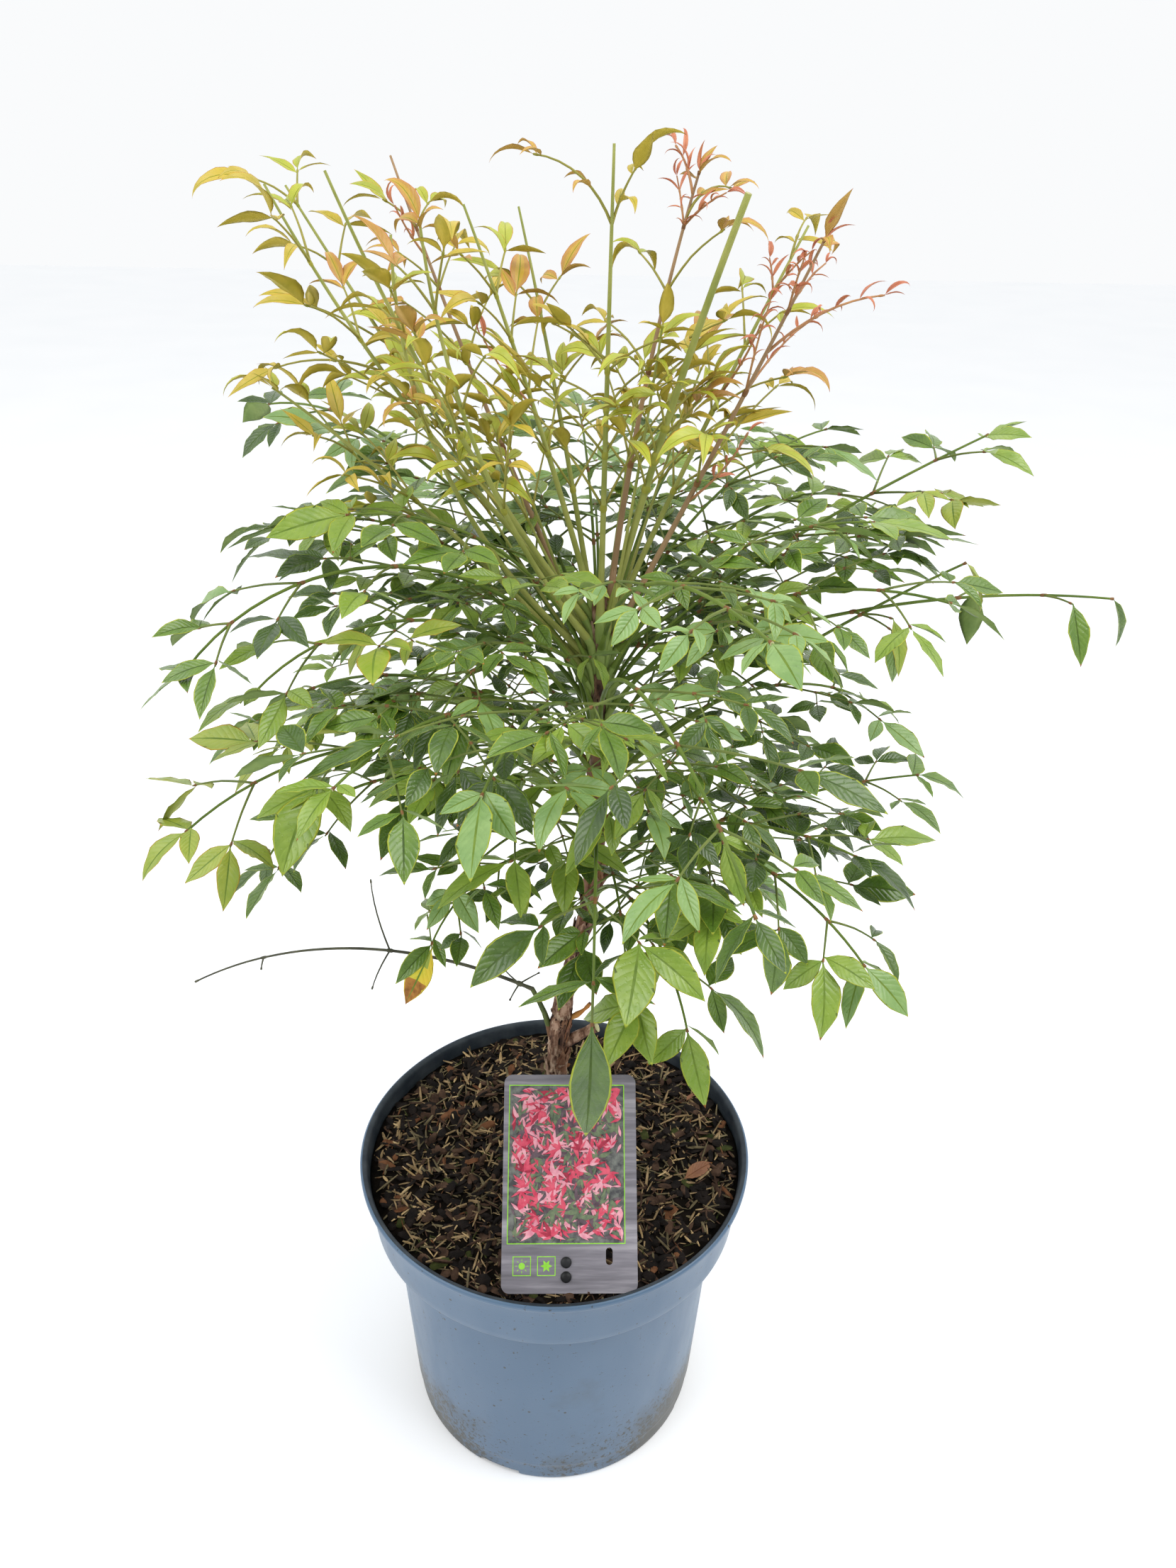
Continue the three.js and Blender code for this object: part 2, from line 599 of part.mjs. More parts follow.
function soilSolid() {
  const neck = POT_HEIGHT - POT_COLLAR_HEIGHT;
  const inset = POT_WALL + GAP + 0.4;
  const slope = (POT_RIM_RADIUS - POT_LIP - POT_COLLAR_RADIUS) / POT_COLLAR_HEIGHT;
  const edge = POT_COLLAR_RADIUS + slope * (SOIL_LEVEL - neck) - inset - 1;
  const waist = POT_NECK_RADIUS - inset - 0.6;
  const profile = [
    [0, POT_WALL + GAP], [POT_BASE_RADIUS - inset - 1, POT_WALL + GAP],
    [waist, neck - 2], [waist, neck + 2], [edge - 3, neck + 4], [edge, SOIL_LEVEL - 4],
  ];
  for (let i = 0; i <= SOIL_RINGS; i += 1) {
    profile.push([edge + ((SOIL_SEAT - edge) * i) / SOIL_RINGS, SOIL_LEVEL]);
  }
  profile.push([0, SOIL_LEVEL]);
  const body = new THREE.LatheGeometry(profile.map(([r, z]) => new THREE.Vector2(r, z)), SOIL_SIDES);
  body.rotateX(Math.PI / 2);
  const { position } = body.attributes;
  for (let i = 0; i < position.count; i += 1) {
    if (position.getZ(i) > SOIL_LEVEL - 1) {
      position.setZ(i, soilHeight(position.getX(i), position.getY(i)));
    }
  }
  return solidOf(body).subtract(pegPocket());
}

function roundedPlate(width, length, corner) {
  const shape = new THREE.Shape();
  const half = width / 2;
  shape.moveTo(-half + corner, 0);
  shape.lineTo(half - corner, 0);
  shape.absarc(half - corner, corner, corner, -Math.PI / 2, 0);
  shape.lineTo(half, length - corner);
  shape.absarc(half - corner, length - corner, corner, 0, Math.PI / 2);
  shape.lineTo(-half + corner, length);
  shape.absarc(-half + corner, length - corner, corner, Math.PI / 2, Math.PI);
  shape.lineTo(-half, corner);
  shape.absarc(-half + corner, corner, corner, Math.PI, 1.5 * Math.PI);
  return shape;
}

// Lays a shape drawn in the label's own plane onto the leaning plane, by its foot.
function leanPlate(geometry, lift) {
  geometry.translate(0, 0, lift);
  geometry.rotateX(rad(LABEL_LEAN));
  return geometry.translate(LABEL_FOOT.x, LABEL_FOOT.y, LABEL_FOOT.z);
}

function labelSolid() {
  const shape = roundedPlate(LABEL_WIDTH, LABEL_LENGTH, LABEL_CORNER);
  LABEL_HOLES.forEach(([x, y]) => {
    const hole = new THREE.Path();
    hole.absarc(x, y, LABEL_HOLE, 0, 2 * Math.PI, true);
    shape.holes.push(hole);
  });
  const options = { depth: LABEL_THICK, bevelEnabled: false, curveSegments: 4 };
  const plate = new THREE.ExtrudeGeometry(shape, options);
  return solidOf(leanPlate(plate, 0));
}

// The peg stands upright in the compost and bends back to lie under the label.
const PEG_FRONT = LABEL_FOOT.y + PEG_BEND * Math.cos(rad(LABEL_LEAN)) + GAP * Math.sin(rad(LABEL_LEAN));

function pegSolid() {
  const along = new THREE.Vector2(Math.cos(rad(LABEL_LEAN)), Math.sin(rad(LABEL_LEAN)));
  const under = new THREE.Vector2(along.y, -along.x);
  const foot = new THREE.Vector2(LABEL_FOOT.y, LABEL_FOOT.z);
  const onPlate = (s, depth) => foot.clone().addScaledVector(along, s).addScaledVector(under, depth);
  const innerBend = onPlate(PEG_BEND, GAP + PEG_THICK);
  innerBend.addScaledVector(along, (PEG_FRONT + PEG_THICK - innerBend.x) / along.x);
  const bottom = SOIL_LEVEL - PEG_BELOW;
  const side = new THREE.Shape([
    onPlate(PEG_BEND, GAP), new THREE.Vector2(PEG_FRONT, bottom + PEG_POINT),
    new THREE.Vector2(PEG_FRONT + PEG_THICK / 2, bottom),
    new THREE.Vector2(PEG_FRONT + PEG_THICK, bottom + PEG_POINT),
    innerBend, onPlate(PEG_ABOVE, GAP + PEG_THICK), onPlate(PEG_ABOVE, GAP),
  ]);
  const bar = new THREE.ExtrudeGeometry(side, { depth: PEG_WIDTH, bevelEnabled: false });
  const axes = [new THREE.Vector3(0, 1, 0), new THREE.Vector3(0, 0, 1), new THREE.Vector3(1, 0, 0)];
  bar.applyMatrix4(new THREE.Matrix4().makeBasis(...axes));
  return solidOf(bar.translate(LABEL_FOOT.x - PEG_WIDTH / 2, 0, 0));
}

function pegPocket() {
  const height = PEG_BELOW + 20;
  const box = new THREE.BoxGeometry(PEG_WIDTH + 2 * GAP, PEG_THICK + 2 * GAP, height);
  const middle = SOIL_LEVEL - PEG_BELOW - GAP + height / 2;
  return solidOf(box.translate(LABEL_FOOT.x, PEG_FRONT + PEG_THICK / 2, middle));
}

// ---------------------------------------------------------------- trunk and bare twig
function trunkShoot({ start, way, rise, fall, length, radii }, sides) {
  const arc = new Arc(new THREE.Vector3(...start), way, rise, fall, 0, length, 4);
  return rod(arc.points, taper(5, ...radii), sides);
}

// The trunk, with a broken side shoot and a withered leaf stalk near its foot.
function trunkSolid() {
  const line = TRUNK_LINE.map((p) => new THREE.Vector3(...p));
  const main = rod(line, line.map((p) => trunkRadius(p.z)), TRUNK_SIDES);
  return largest(union([main, trunkShoot(BROKEN_SHOOT, 6), trunkShoot(WITHERED_STALK, 4)]));
}

// The leafless stalk of an old frond that arches out on the left.
function bareTwigSolid() {
  const { foot, knee, way, rise, fall, sweep, length } = BARE_TWIG;
  const arc = new Arc(new THREE.Vector3(...knee), way, rise, fall, sweep, length, FROND_STEPS);
  const points = [frondStart(foot, way), ...taper(8, 0, 1).map((t) => arc.at(t))];
  const rings = ringsAlong(points, taper(9, STALK_RADIUS, STEM_TIP_RADIUS), 4);
  const parts = [loft(seated(rings, way))];
  SPURS.forEach(([t, turn, tilt, bend, reach]) => {
    const twig = new Arc(arc.at(t), turn, tilt, tilt + bend, 0, reach, 2);
    parts.push(rod(twig.points, taper(3, TWIG_RADIUS, TWIG_RADIUS), TWIG_SIDES));
  });
  return largest(union(parts));
}

// ---------------------------------------------------------------- the whole plant
const plant = new THREE.Group();

function addPiece(name, colour, solid) {
  const [hex, roughness] = COLOURS[colour];
  const material = new THREE.MeshStandardMaterial({ color: hex, roughness, metalness: 0 });
  const mesh = new THREE.Mesh(geometryOf(solid), material);
  mesh.name = name;
  plant.add(mesh);
}

addPiece('pot', 'pot', claim('pot', potSolid()));
addPiece('soil', 'soil', claim('soil', soilSolid()));
addPiece('label', 'label', claim('label', labelSolid()));
addPiece('label_peg', 'peg', claim('label_peg', pegSolid()));
addPiece('trunk', 'bark', claim('trunk', trunkSolid()));
addPiece('bare_twig', 'twig', claim('bare_twig', bareTwigSolid()));

const grownFronds = FRONDS.map(growFrond);
grownFronds.filter(({ plan }) => plan.stalk).forEach((grown) => {
  const { name } = grown.plan;
  addPiece(`stalk_${name}`, 'stalk', claim(`stalk_${name}`, stalkSolid(grown)));
});
const stems = grownFronds.map((grown) => claim(grown.plan.name, stemSolid(grown)));
grownFronds.forEach((grown, i) => {
  const { name, style } = grown.plan;
  addPiece(`foliage_${name}`, style, claim(name, massSolid(grown, stems[i])));
});

export default plant;
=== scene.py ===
"""Heavenly bamboo (Nandina) in its nursery pot: leaves, bark, compost, pot and label.

The growth rule and its numbers are the CAD source's own, so every limb lies where the solids are.
Lengths are millimetres here and become metres when a mesh is made.
"""

from math import asin, atan2, cos, degrees, exp, hypot, pi, radians, sin, sqrt

import bpy
import numpy as np
from mathutils import Matrix, Vector, noise


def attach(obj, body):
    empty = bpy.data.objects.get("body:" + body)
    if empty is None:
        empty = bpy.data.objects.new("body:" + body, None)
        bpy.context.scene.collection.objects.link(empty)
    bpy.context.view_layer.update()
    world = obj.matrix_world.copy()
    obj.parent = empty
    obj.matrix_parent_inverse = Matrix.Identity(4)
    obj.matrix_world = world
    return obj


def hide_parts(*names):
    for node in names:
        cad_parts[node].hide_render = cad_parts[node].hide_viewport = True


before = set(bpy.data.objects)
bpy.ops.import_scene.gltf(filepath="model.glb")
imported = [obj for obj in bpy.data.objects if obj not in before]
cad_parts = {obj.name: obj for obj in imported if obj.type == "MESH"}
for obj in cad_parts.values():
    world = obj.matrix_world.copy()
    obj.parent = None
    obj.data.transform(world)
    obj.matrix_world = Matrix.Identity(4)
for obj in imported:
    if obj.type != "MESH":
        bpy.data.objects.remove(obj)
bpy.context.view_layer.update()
MM = 0.001

# ---------------- sizes of the CAD source
GAP = 0.3  # clearance between neighbouring solids
POT_HEIGHT = 209
POT_BASE_RADIUS = 99
POT_NECK_RADIUS = 109
POT_COLLAR_HEIGHT = 41
POT_WALL = 2
POT_FOOT_LINE = 16
NOTCH_COUNT = 4
NOTCH_TURN = 68  # degrees from +X to the first notch
NOTCH_WIDTH = 28
NOTCH_HEIGHT = 4.5
NOTCH_DEPTH = 6
DRAIN_COUNT = 5
DRAIN_RADIUS = 7
DRAIN_RING = 52
SOIL_LEVEL = 200
SOIL_MOUND = 2.4
SOIL_SEAT = 16  # radius of the level compost round the trunk
SOIL_FADE = 24
LABEL_WIDTH = 80
LABEL_LENGTH = 124
LABEL_THICK = 0.8
LABEL_CORNER = 5
LABEL_LEAN = radians(46)
LABEL_FOOT = Vector((8.5, -113, 203))
LABEL_HOLES = [(-2, 9), (-2, 17)]  # across and along the card
LABEL_HOLE = 2.4
STALK_RADIUS = 1.9
FROND_STEPS = 24
TWIG_STEPS = 4
CLOSER = 0.82  # each gap between pairs of twigs over the one before
SHORTER = 0.75  # how much shorter the last twigs are
LAST_REACH = 0.45
FIRST_SEED = 1000
SEED_STEP = 37
ROOT_STEP = 1.8  # distance between the feet of paired leaves
SIDE_LEAF = 0.88
END_LEAF = 1.1
STEEPEST = 80

TRUNK_LINE = [  # height, x and y
    (200.3, 0, 0), (212, 0, 0), (240, 0, 0), (275, 0.6, 0), (305, 2, 0), (335, 5, 0),
    (368, 12, 0), (398, 18.5, 0), (428, 21.6, 0), (500, 22, 0), (592, 21, 0),
]
# Height and radius.
TRUNK_RADII = [(200, 9.4), (212, 7.4), (240, 6.4), (340, 4.7), (592, 4.1)]
BROKEN_SHOOT = dict(start=(0, 0, 288), way=-8, rise=50, fall=30, length=34, radii=(3.6, 3.1))
WITHERED_STALK = dict(start=(2, 0, 312), way=-12, rise=25, fall=62, length=26, radii=(2.5, 1.0))
BARE_TWIG = dict(foot=309, knee=(-15, 0, 337), way=177, rise=26, fall=-30, sweep=4, length=215)
SPURS = [  # on the bare twig: place, way, tilt, bend, length
    (0.04, 200, 50, 10, 17),
    (0.04, 20, 24, -6, 14),
    (0.04, 230, -30, -20, 12),
    (0.42, 140, 62, 28, 48),
    (0.42, 215, -50, -20, 27),
    (0.78, 190, -70, -10, 9),
]
# A leaf's angle to its twig, how far it levels out, hangs and varies, its width over its length
# and its length; a twig's angle to its stem, how it lifts and droops, its least length, and the
# length from which it bears a middle pair.
STYLES = {
    "old": dict(turn=58, level=0.5, hang=4, loose=20, slim=0.42, leaf=35,
                spread=54, lift=4, droop=18, shortest=22, pairs_from=46),
    "young": dict(turn=50, level=0.55, hang=-4, loose=28, slim=0.37, leaf=27,
                  spread=44, lift=10, droop=22, shortest=20, pairs_from=48),
    "front": dict(turn=58, level=0.7, hang=8, loose=20, slim=0.42, leaf=37,
                  spread=52, lift=4, droop=18, shortest=24, pairs_from=50),
}
FROND_NUMBERS = ("foot", "way", "length", "rise", "fall", "bare", "pairs", "reach")


def frond(name, style, *numbers, **more):
    """A frond's plan: the numbers of its style, its own, and what else differs."""
    plan = dict(STYLES[style], name=name, style=style, sweep=0, cut=0, stalk=False, lone=False)
    plan.update(zip(FROND_NUMBERS, numbers))
    plan.update(more)
    return plan


def fronds(side, first, rows):
    """Plans named from side_first on, from rows of a style, its numbers and what differs."""
    return [frond(f"{side}_{number}", *row[:9], **dict(*row[9:]))
            for number, row in enumerate(rows, first)]


TOP = fronds("top", 1, [
    ("young", 582, 173, 245, 44, 62, 0.50, 2, 66, dict(cut=0.15, stalk=True)),
    ("young", 557, 189, 226, 44, 92, 0.62, 1, 46, dict(cut=0.35)),
    ("young", 568, 149, 274, 46, 51, 0.46, 3, 60, dict(cut=0.04, stalk=True)),
    ("young", 575, 200, 238, 54, 68, 0.50, 2, 60, dict(cut=0.3, stalk=True)),
    ("young", 559, 133, 276, 52, 60, 0.42, 3, 56, dict(cut=0.14)),
    ("young", 566, 217, 222, 50, 84, 0.42, 3, 56),
    ("young", 589, 150, 192, 71, 65, 0.38, 3, 60, dict(cut=0.22, stalk=True)),
    ("young", 574, 116, 212, 68, 60, 0.32, 2, 54, dict(cut=0.25)),
    ("young", 578, 270, 217, 84, 80, 0.28, 3, 62, dict(cut=0.42, stalk=True)),
    ("young", 582, 42, 208, 82, 68, 0.35, 4, 58, dict(stalk=True)),
    ("young", 580, 316, 208, 74, 67, 0.35, 2, 52, dict(cut=0.5, stalk=True)),
    ("young", 572, 28, 216, 63, 58, 0.35, 3, 60, dict(cut=0.16, stalk=True)),
    ("young", 566, 336, 214, 64, 66, 0.45, 3, 70, dict(stalk=True)),
]) + fronds("left", 1, [("young", 547, 180, 208, 50, 36, 0.6, 1, 52)])
LEFT = fronds("left", 2, [
    ("old", 543, 143, 290, 53, -12, 0.55, 2, 58, dict(sweep=-5)),
    ("old", 528, 153, 235, 49, -20, 0.4, 3, 70),
    ("old", 540, 204, 244, 62, -48, 0.55, 3, 46, dict(sweep=4, stalk=True)),
    ("front", 465, 207, 240, 50, -36, 0.4, 3, 70),
    ("old", 440, 192, 212, 56, -60, 0.4, 3, 62),
    ("old", 495, 173, 200, 43, -42, 0.35, 3, 78),
    ("old", 514, 205, 212, 66, -42, 0.35, 3, 78),
])
RIGHT = fronds("right", 1, [
    ("old", 557, 14, 230, 32, 22, 0.5, 3, 54, dict(stalk=True)),
    ("old", 540, -3, 262, 26, -4, 0.5, 3, 24, dict(hang=50, stalk=True, lone=True)),
    ("old", 484, -11, 218, 45, 31, 0.75, 1, 20, dict(hang=60, lone=True)),
    ("old", 478, 15, 178, 50, -34, 0.4, 3, 72),
    ("old", 420, 3, 190, 32, 4, 0.4, 3, 52),
    ("old", 432, -36, 165, 47, -10, 0.4, 3, 70),
    ("front", 450, -50, 188, 36, -42, 0.45, 3, 54, dict(sweep=8)),
    ("old", 541, 36, 235, 56, -30, 0.4, 3, 84),
    ("old", 526, -27, 200, 58, -8, 0.4, 3, 84),
])
FRONT = fronds("front", 1, [
    ("front", 462, -92, 175, 44, -50, 0.5, 2, 44, dict(leaf=46)),
    ("front", 522, -90, 270, 48, -40, 0.5, 3, 58, dict(sweep=22)),
    ("front", 410, -74, 150, 50, -62, 0.45, 2, 46, dict(sweep=8, leaf=42)),
    ("front", 490, 236, 222, 54, -18, 0.45, 3, 78),
    ("front", 562, -86, 240, 45, -6, 0.5, 3, 50, dict(sweep=17, leaf=25)),
    ("front", 504, -106, 205, 52, -18, 0.4, 3, 80),
])
BACK = fronds("back", 1, [
    ("old", 550, 68, 240, 55, -20, 0.4, 3, 90),
    ("old", 536, 108, 240, 50, -28, 0.4, 3, 90),
    ("old", 490, 86, 225, 45, -35, 0.4, 3, 88),
    ("old", 450, 135, 215, 45, -40, 0.4, 3, 80),
    ("old", 410, 55, 200, 45, -35, 0.4, 3, 76),
])
REGIONS = {"top": TOP, "left": LEFT, "right": RIGHT, "front": FRONT, "back": BACK}
FRONDS = [plan for plans in REGIONS.values() for plan in plans]

# ---------------- looks of leaves and stems
# Each look: inner part, outer part, margin, midrib and underside.
LOOKS = {
    "dark": ("leaf_dark", "leaf_dark", "margin_green", "rib_dark", "under_green"),
    "deep": ("leaf_deep", "leaf_deep", "margin_lime", "rib_dark", "under_green"),
    "mid": ("leaf_mid", "leaf_mid", "margin_lime", "rib_dark", "under_green"),
    "fresh": ("leaf_fresh", "leaf_fresh", "margin_lime", "rib_pale", "under_green"),
    # pale: leaves whose colour carries a painted sheen.
    "pale": ("leaf_pale", "leaf_pale", "margin_lime", "rib_pale", "under_green"),
    "lime": ("leaf_lime", "leaf_lime", "margin_straw", "rib_pale", "under_lime"),
    "yellow": ("leaf_yellow", "leaf_yellow", "leaf_yellow", "rib_pale", "leaf_yellow"),
    "green": ("young_green", "young_green", "margin_bronze", "rib_young", "under_young"),
    "gold": ("young_gold", "young_gold", "margin_bronze", "rib_young", "under_young"),
    "amber": ("young_amber", "young_bronze", "margin_red", "rib_young", "under_amber"),
    "bronze": ("young_bronze", "young_bronze", "margin_red", "rib_young", "under_amber"),
    "red": ("young_red", "young_red", "margin_red", "rib_red", "young_red"),
    "withered": ("dead_leaf", "dead_leaf", "dead_leaf", "dead_rib", "dead_leaf"),
}
# How often each look turns up on a style's sprays.
SHARES = {
    "old": [("dark", 0.2), ("deep", 0.24), ("mid", 0.28), ("fresh", 0.18), ("pale", 0.1)],
    "front": [("dark", 0.08), ("deep", 0.2), ("mid", 0.28), ("fresh", 0.3), ("pale", 0.14)],
    "young": [("green", 0.4), ("gold", 0.3), ("amber", 0.18), ("bronze", 0.12)],
}
INNER_YOUNG = [("green", 0.8), ("gold", 0.2)]
FROND_SHARES = {
    "filler": [("deep", 0.2), ("mid", 0.35), ("fresh", 0.33), ("pale", 0.12)],
    "left_5": [("mid", 0.3), ("fresh", 0.4), ("lime", 0.3)],
    "left_8": [("deep", 0.2), ("mid", 0.4), ("fresh", 0.35), ("lime", 0.05)],
    "left_1": [("green", 0.5), ("gold", 0.5)],
    "front_1": [("deep", 0.25), ("mid", 0.5), ("fresh", 0.25)],
    "front_3": [("deep", 0.2), ("mid", 0.45), ("fresh", 0.35)],
    "front_5": [("pale", 0.8), ("fresh", 0.2)],
    "right_1": [("mid", 0.35), ("fresh", 0.5), ("lime", 0.15)],
    "right_3": [("lime", 1)],
}
# Where along a frond the newest, red growth begins.
RED_FRONDS = {"top_13": 0.2, "top_12": 0.75, "top_10": 0.7}
MAUVE_FRONDS = {"top_5", "top_10", "top_13"}
# No shorter frond stands beside these.
LONE_FRONDS = {"right_1", "right_2", "right_3", "left_2", "front_1", "front_3", "front_5"}
LEAF_SIZE = {"old": 0.75, "front": 0.76, "young": 0.93}
LEAF_SLIM = {"old": 1.0, "front": 1.0, "young": 0.76}
LARGE_LEAVES = {"front_1": 1.08, "front_3": 1.02, "left_5": 1.08}
# A leaf that is dying back hangs from this place on the left, yellow with a brown end.
SPENT_REGION = "left"
SPENT_ROOT = (-69, -46, 401)
SPENT_LEAF = dict(look="yellow", tip=True, length=38, width=15, curl=24, twist=14)
# The leaf at the end of front_1 hangs from a stalk of its own, green with a light rim.
HANGING_STALK = 20
HANGING_LEAF = dict(look="deep", length=66, width=20.5, curl=24, fold=24, twist=4, wave=0.05,
                    tip=False)
# Leafy shoots in the middle of the crown: region, then a frond's numbers from its foot to its fall.
FILLERS = [
    ("left", 548, 148, 176, 66, 4), ("left", 543, 176, 172, 60, -4), ("left", 552, 206, 165, 68, 0),
    ("right", 549, -22, 165, 64, 4), ("right", 552, 30, 182, 66, 6),
    ("right", 536, 6, 190, 56, -8), ("back", 552, 95, 175, 70, 6), ("back", 500, 112, 185, 48, -22),
]
FILLER_REACH = (0.36, 3, 56)  # their bare part, pairs and reach
# Young growth in the middle of the crown, where a shorter frond stands beside each of these.
BUSHY_TOPS = {"top_3", "top_5", "top_7", "top_8", "top_9", "top_10", "top_12"}
# Long side shoots of the young growth: frond, place on it, way, rise, fall, length, look.
SHOOTS = [
    ("top_9", 0.86, 182, 66, 4, 44, "amber"),
    ("top_9", 0.86, 5, 74, 56, 24, "gold"),
    ("top_9", 0.6, 170, 40, 20, 30, "gold"),
    ("top_13", 0.76, 8, 42, 4, 58, "red"),
    ("top_13", 0.4, -30, 40, 66, 46, "red"),
    ("top_10", 0.9, 25, 66, -20, 30, "amber"),
    ("top_10", 0.95, 120, 70, 30, 26, "red"),
    ("top_12", 0.6, -50, 50, 66, 40, "red"),
    ("top_7", 0.5, 190, 46, 62, 40, "red"),
    ("top_5", 0.8, 200, 50, 66, 30, "red"),
    ("top_12", 0.92, 60, 65, 20, 26, "gold"),
    ("top_1", 0.62, 200, 22, -18, 52, "gold"),
]

# ---------------- small maths
MASK = 0xFFFFFFFF
UP = Vector((0, 0, 1))
FRONT_SIDE = Vector((0.1, -0.8, 0.6))


class Dice:
    """Seeded random numbers, the same as the CAD source's."""

    def __init__(self, seed):
        self.state = seed & MASK

    def roll(self):
        self.state = (self.state + 0x6D2B79F5) & MASK
        t = self.state
        t = ((t ^ (t >> 15)) * (t | 1)) & MASK
        t ^= (t + ((t ^ (t >> 7)) * (t | 61))) & MASK
        return ((t ^ (t >> 14)) & MASK) / 4294967296

    def near(self, middle, spread):
        return middle + (2 * self.roll() - 1) * spread

    def pick(self, shares):
        rest = self.roll() * sum(share for _, share in shares)
        for name, share in shares:
            rest -= share
            if rest < 0:
                break
        return name


def heading(way, tilt):
    way, tilt = radians(way), radians(tilt)
    return Vector((cos(tilt) * cos(way), cos(tilt) * sin(way), sin(tilt)))


def angles_of(v):
    unit = v.normalized()
    return (degrees(atan2(unit.y, unit.x)),
            degrees(asin(min(max(unit.z, -1), 1))))


def turned(direction, side, angle):
    angle = radians(angle)
    return (direction * cos(angle) + side * sin(angle)).normalized()


def read_table(table, at, column=1):
    return float(np.interp(at, [row[0] for row in table], [row[column] for row in table]))


def trunk_radius(z):
    return read_table(TRUNK_RADII, z)


def trunk_axis(z):
    return Vector((read_table(TRUNK_LINE, z), read_table(TRUNK_LINE, z, 2), z))


def polar(radius, angle, x=0.0, y=0.0):
    """A point at a radius and an angle round another."""
    return x + radius * cos(angle), y + radius * sin(angle)


def bearings(count):
    return [2 * pi * k / count for k in range(count)]


def smooth(x, low, high):
    t = min(max((x - low) / (high - low), 0), 1)
    return t * t * (3 - 2 * t)


class Arc:
    """A limb's centre line: it starts at an angle above the level and bends evenly to another."""

    def __init__(self, start, way, rise, fall, sweep, length, steps):
        self.way, self.rise, self.fall, self.sweep = way, rise, fall, sweep
        self.length, self.steps = length, steps
        self.points = [Vector(start)]
        for i in range(steps):
            step = self.direction((i + 0.5) / steps) * (length / steps)
            self.points.append(self.points[i] + step)

    def direction(self, t):
        return heading(self.way + self.sweep * t,
                       self.rise + (self.fall - self.rise) * t ** 1.2)

    def side(self, t):
        way = radians(self.way + self.sweep * t)
        return Vector((sin(way), -cos(way), 0))

    def at(self, t):
        x = min(max(t, 0), 1) * self.steps
        i = min(int(x), self.steps - 1)
        return self.points[i].lerp(self.points[i + 1], x - i)


# ---------------- the growth rule
def grow_leaf(dice, root, direction, side, turn, hang, length, level, slim):
    way, tilt = angles_of(turned(direction, side, turn))
    along = heading(way, min(max(tilt * level - hang, -STEEPEST), STEEPEST))
    up = UP if abs(along.z) < 0.97 else heading(way, 0)
    across = along.cross(up).normalized()
    flat = across.cross(along)
    roll = radians(dice.near(0, 38))
    face = flat * cos(roll) + across * sin(roll)
    real = length * dice.near(1, 0.22)
    return dict(root=root, along=along, across=face.cross(along), face=face,
                length=real, width=real * slim * dice.near(1, 0.15))


def grow_pair(dice, arc, t, rule):
    leaves = []
    for i, sign in enumerate((1, -1)):
        turn = sign * dice.near(rule["turn"], 14)
        hang = dice.near(rule["hang"], rule["loose"])
        place = t - ((1 + i) * ROOT_STEP) / arc.length
        leaves.append(grow_leaf(dice, arc.at(place), arc.direction(t), arc.side(t), turn, hang,
                                rule["leaf"] * SIDE_LEAF, rule["level"], rule["slim"]))
    return leaves


def grow_end_leaf(dice, arc, rule):
    turn = dice.near(0, 14)
    hang = dice.near(rule["hang"], rule["loose"])
    return grow_leaf(dice, arc.at(1), arc.direction(1), arc.side(1), turn, hang,
                     rule["leaf"] * END_LEAF, rule["level"], rule["slim"])


def grow_twig(dice, arc, t, sign, reach, rule):
    turn = dice.near(rule["spread"], 9)
    way, tilt = angles_of(turned(arc.direction(t), arc.side(t), sign * turn))
    rise = tilt + dice.near(rule["lift"], 8)
    length = max(reach, rule["shortest"]) * dice.near(1, 0.15)
    twig = Arc(arc.at(t), way, rise, rise - dice.near(rule["droop"], 10), 0, length, TWIG_STEPS)
    middle = grow_pair(dice, twig, 0.55, rule) if length > rule["pairs_from"] else []
    return dict(arc=twig, middle=middle, pair=grow_pair(dice, twig, 1, rule),
                end=grow_end_leaf(dice, twig, rule))


def frond_start(foot, way):
    return trunk_axis(foot) + heading(way, 0) * (trunk_radius(foot) + STALK_RADIUS + GAP)


def frond_arc(plan):
    return Arc(frond_start(plan["foot"], plan["way"]), plan["way"], plan["rise"], plan["fall"],
               plan["sweep"], plan["length"], FROND_STEPS)


def grow_frond(plan, index):
    dice = Dice(FIRST_SEED + SEED_STEP * index)
    arc = frond_arc(plan)
    sides, nodes = [], []
    pairs, last = plan["pairs"], 1 - plan["cut"]
    for k in range(pairs + 1):
        share = (1 - CLOSER ** k) / (1 - CLOSER ** pairs)
        t = plan["bare"] + (last - plan["bare"]) * share
        reach = plan["reach"] * (LAST_REACH if k == pairs else 1 - (SHORTER * k) / pairs)
        nodes.append(t)
        if k < pairs or plan["cut"]:
            signs = (1 - 2 * (k % 2),) if plan["lone"] else (1, -1)
            sides += [grow_twig(dice, arc, t, sign, reach, plan) for sign in signs]
    tip = []
    if not plan["cut"]:
        tip = grow_pair(dice, arc, 1, plan)
        tip.append(grow_end_leaf(dice, arc, plan))
    return dict(plan=plan, arc=arc, nodes=nodes, sides=sides, tip=tip)


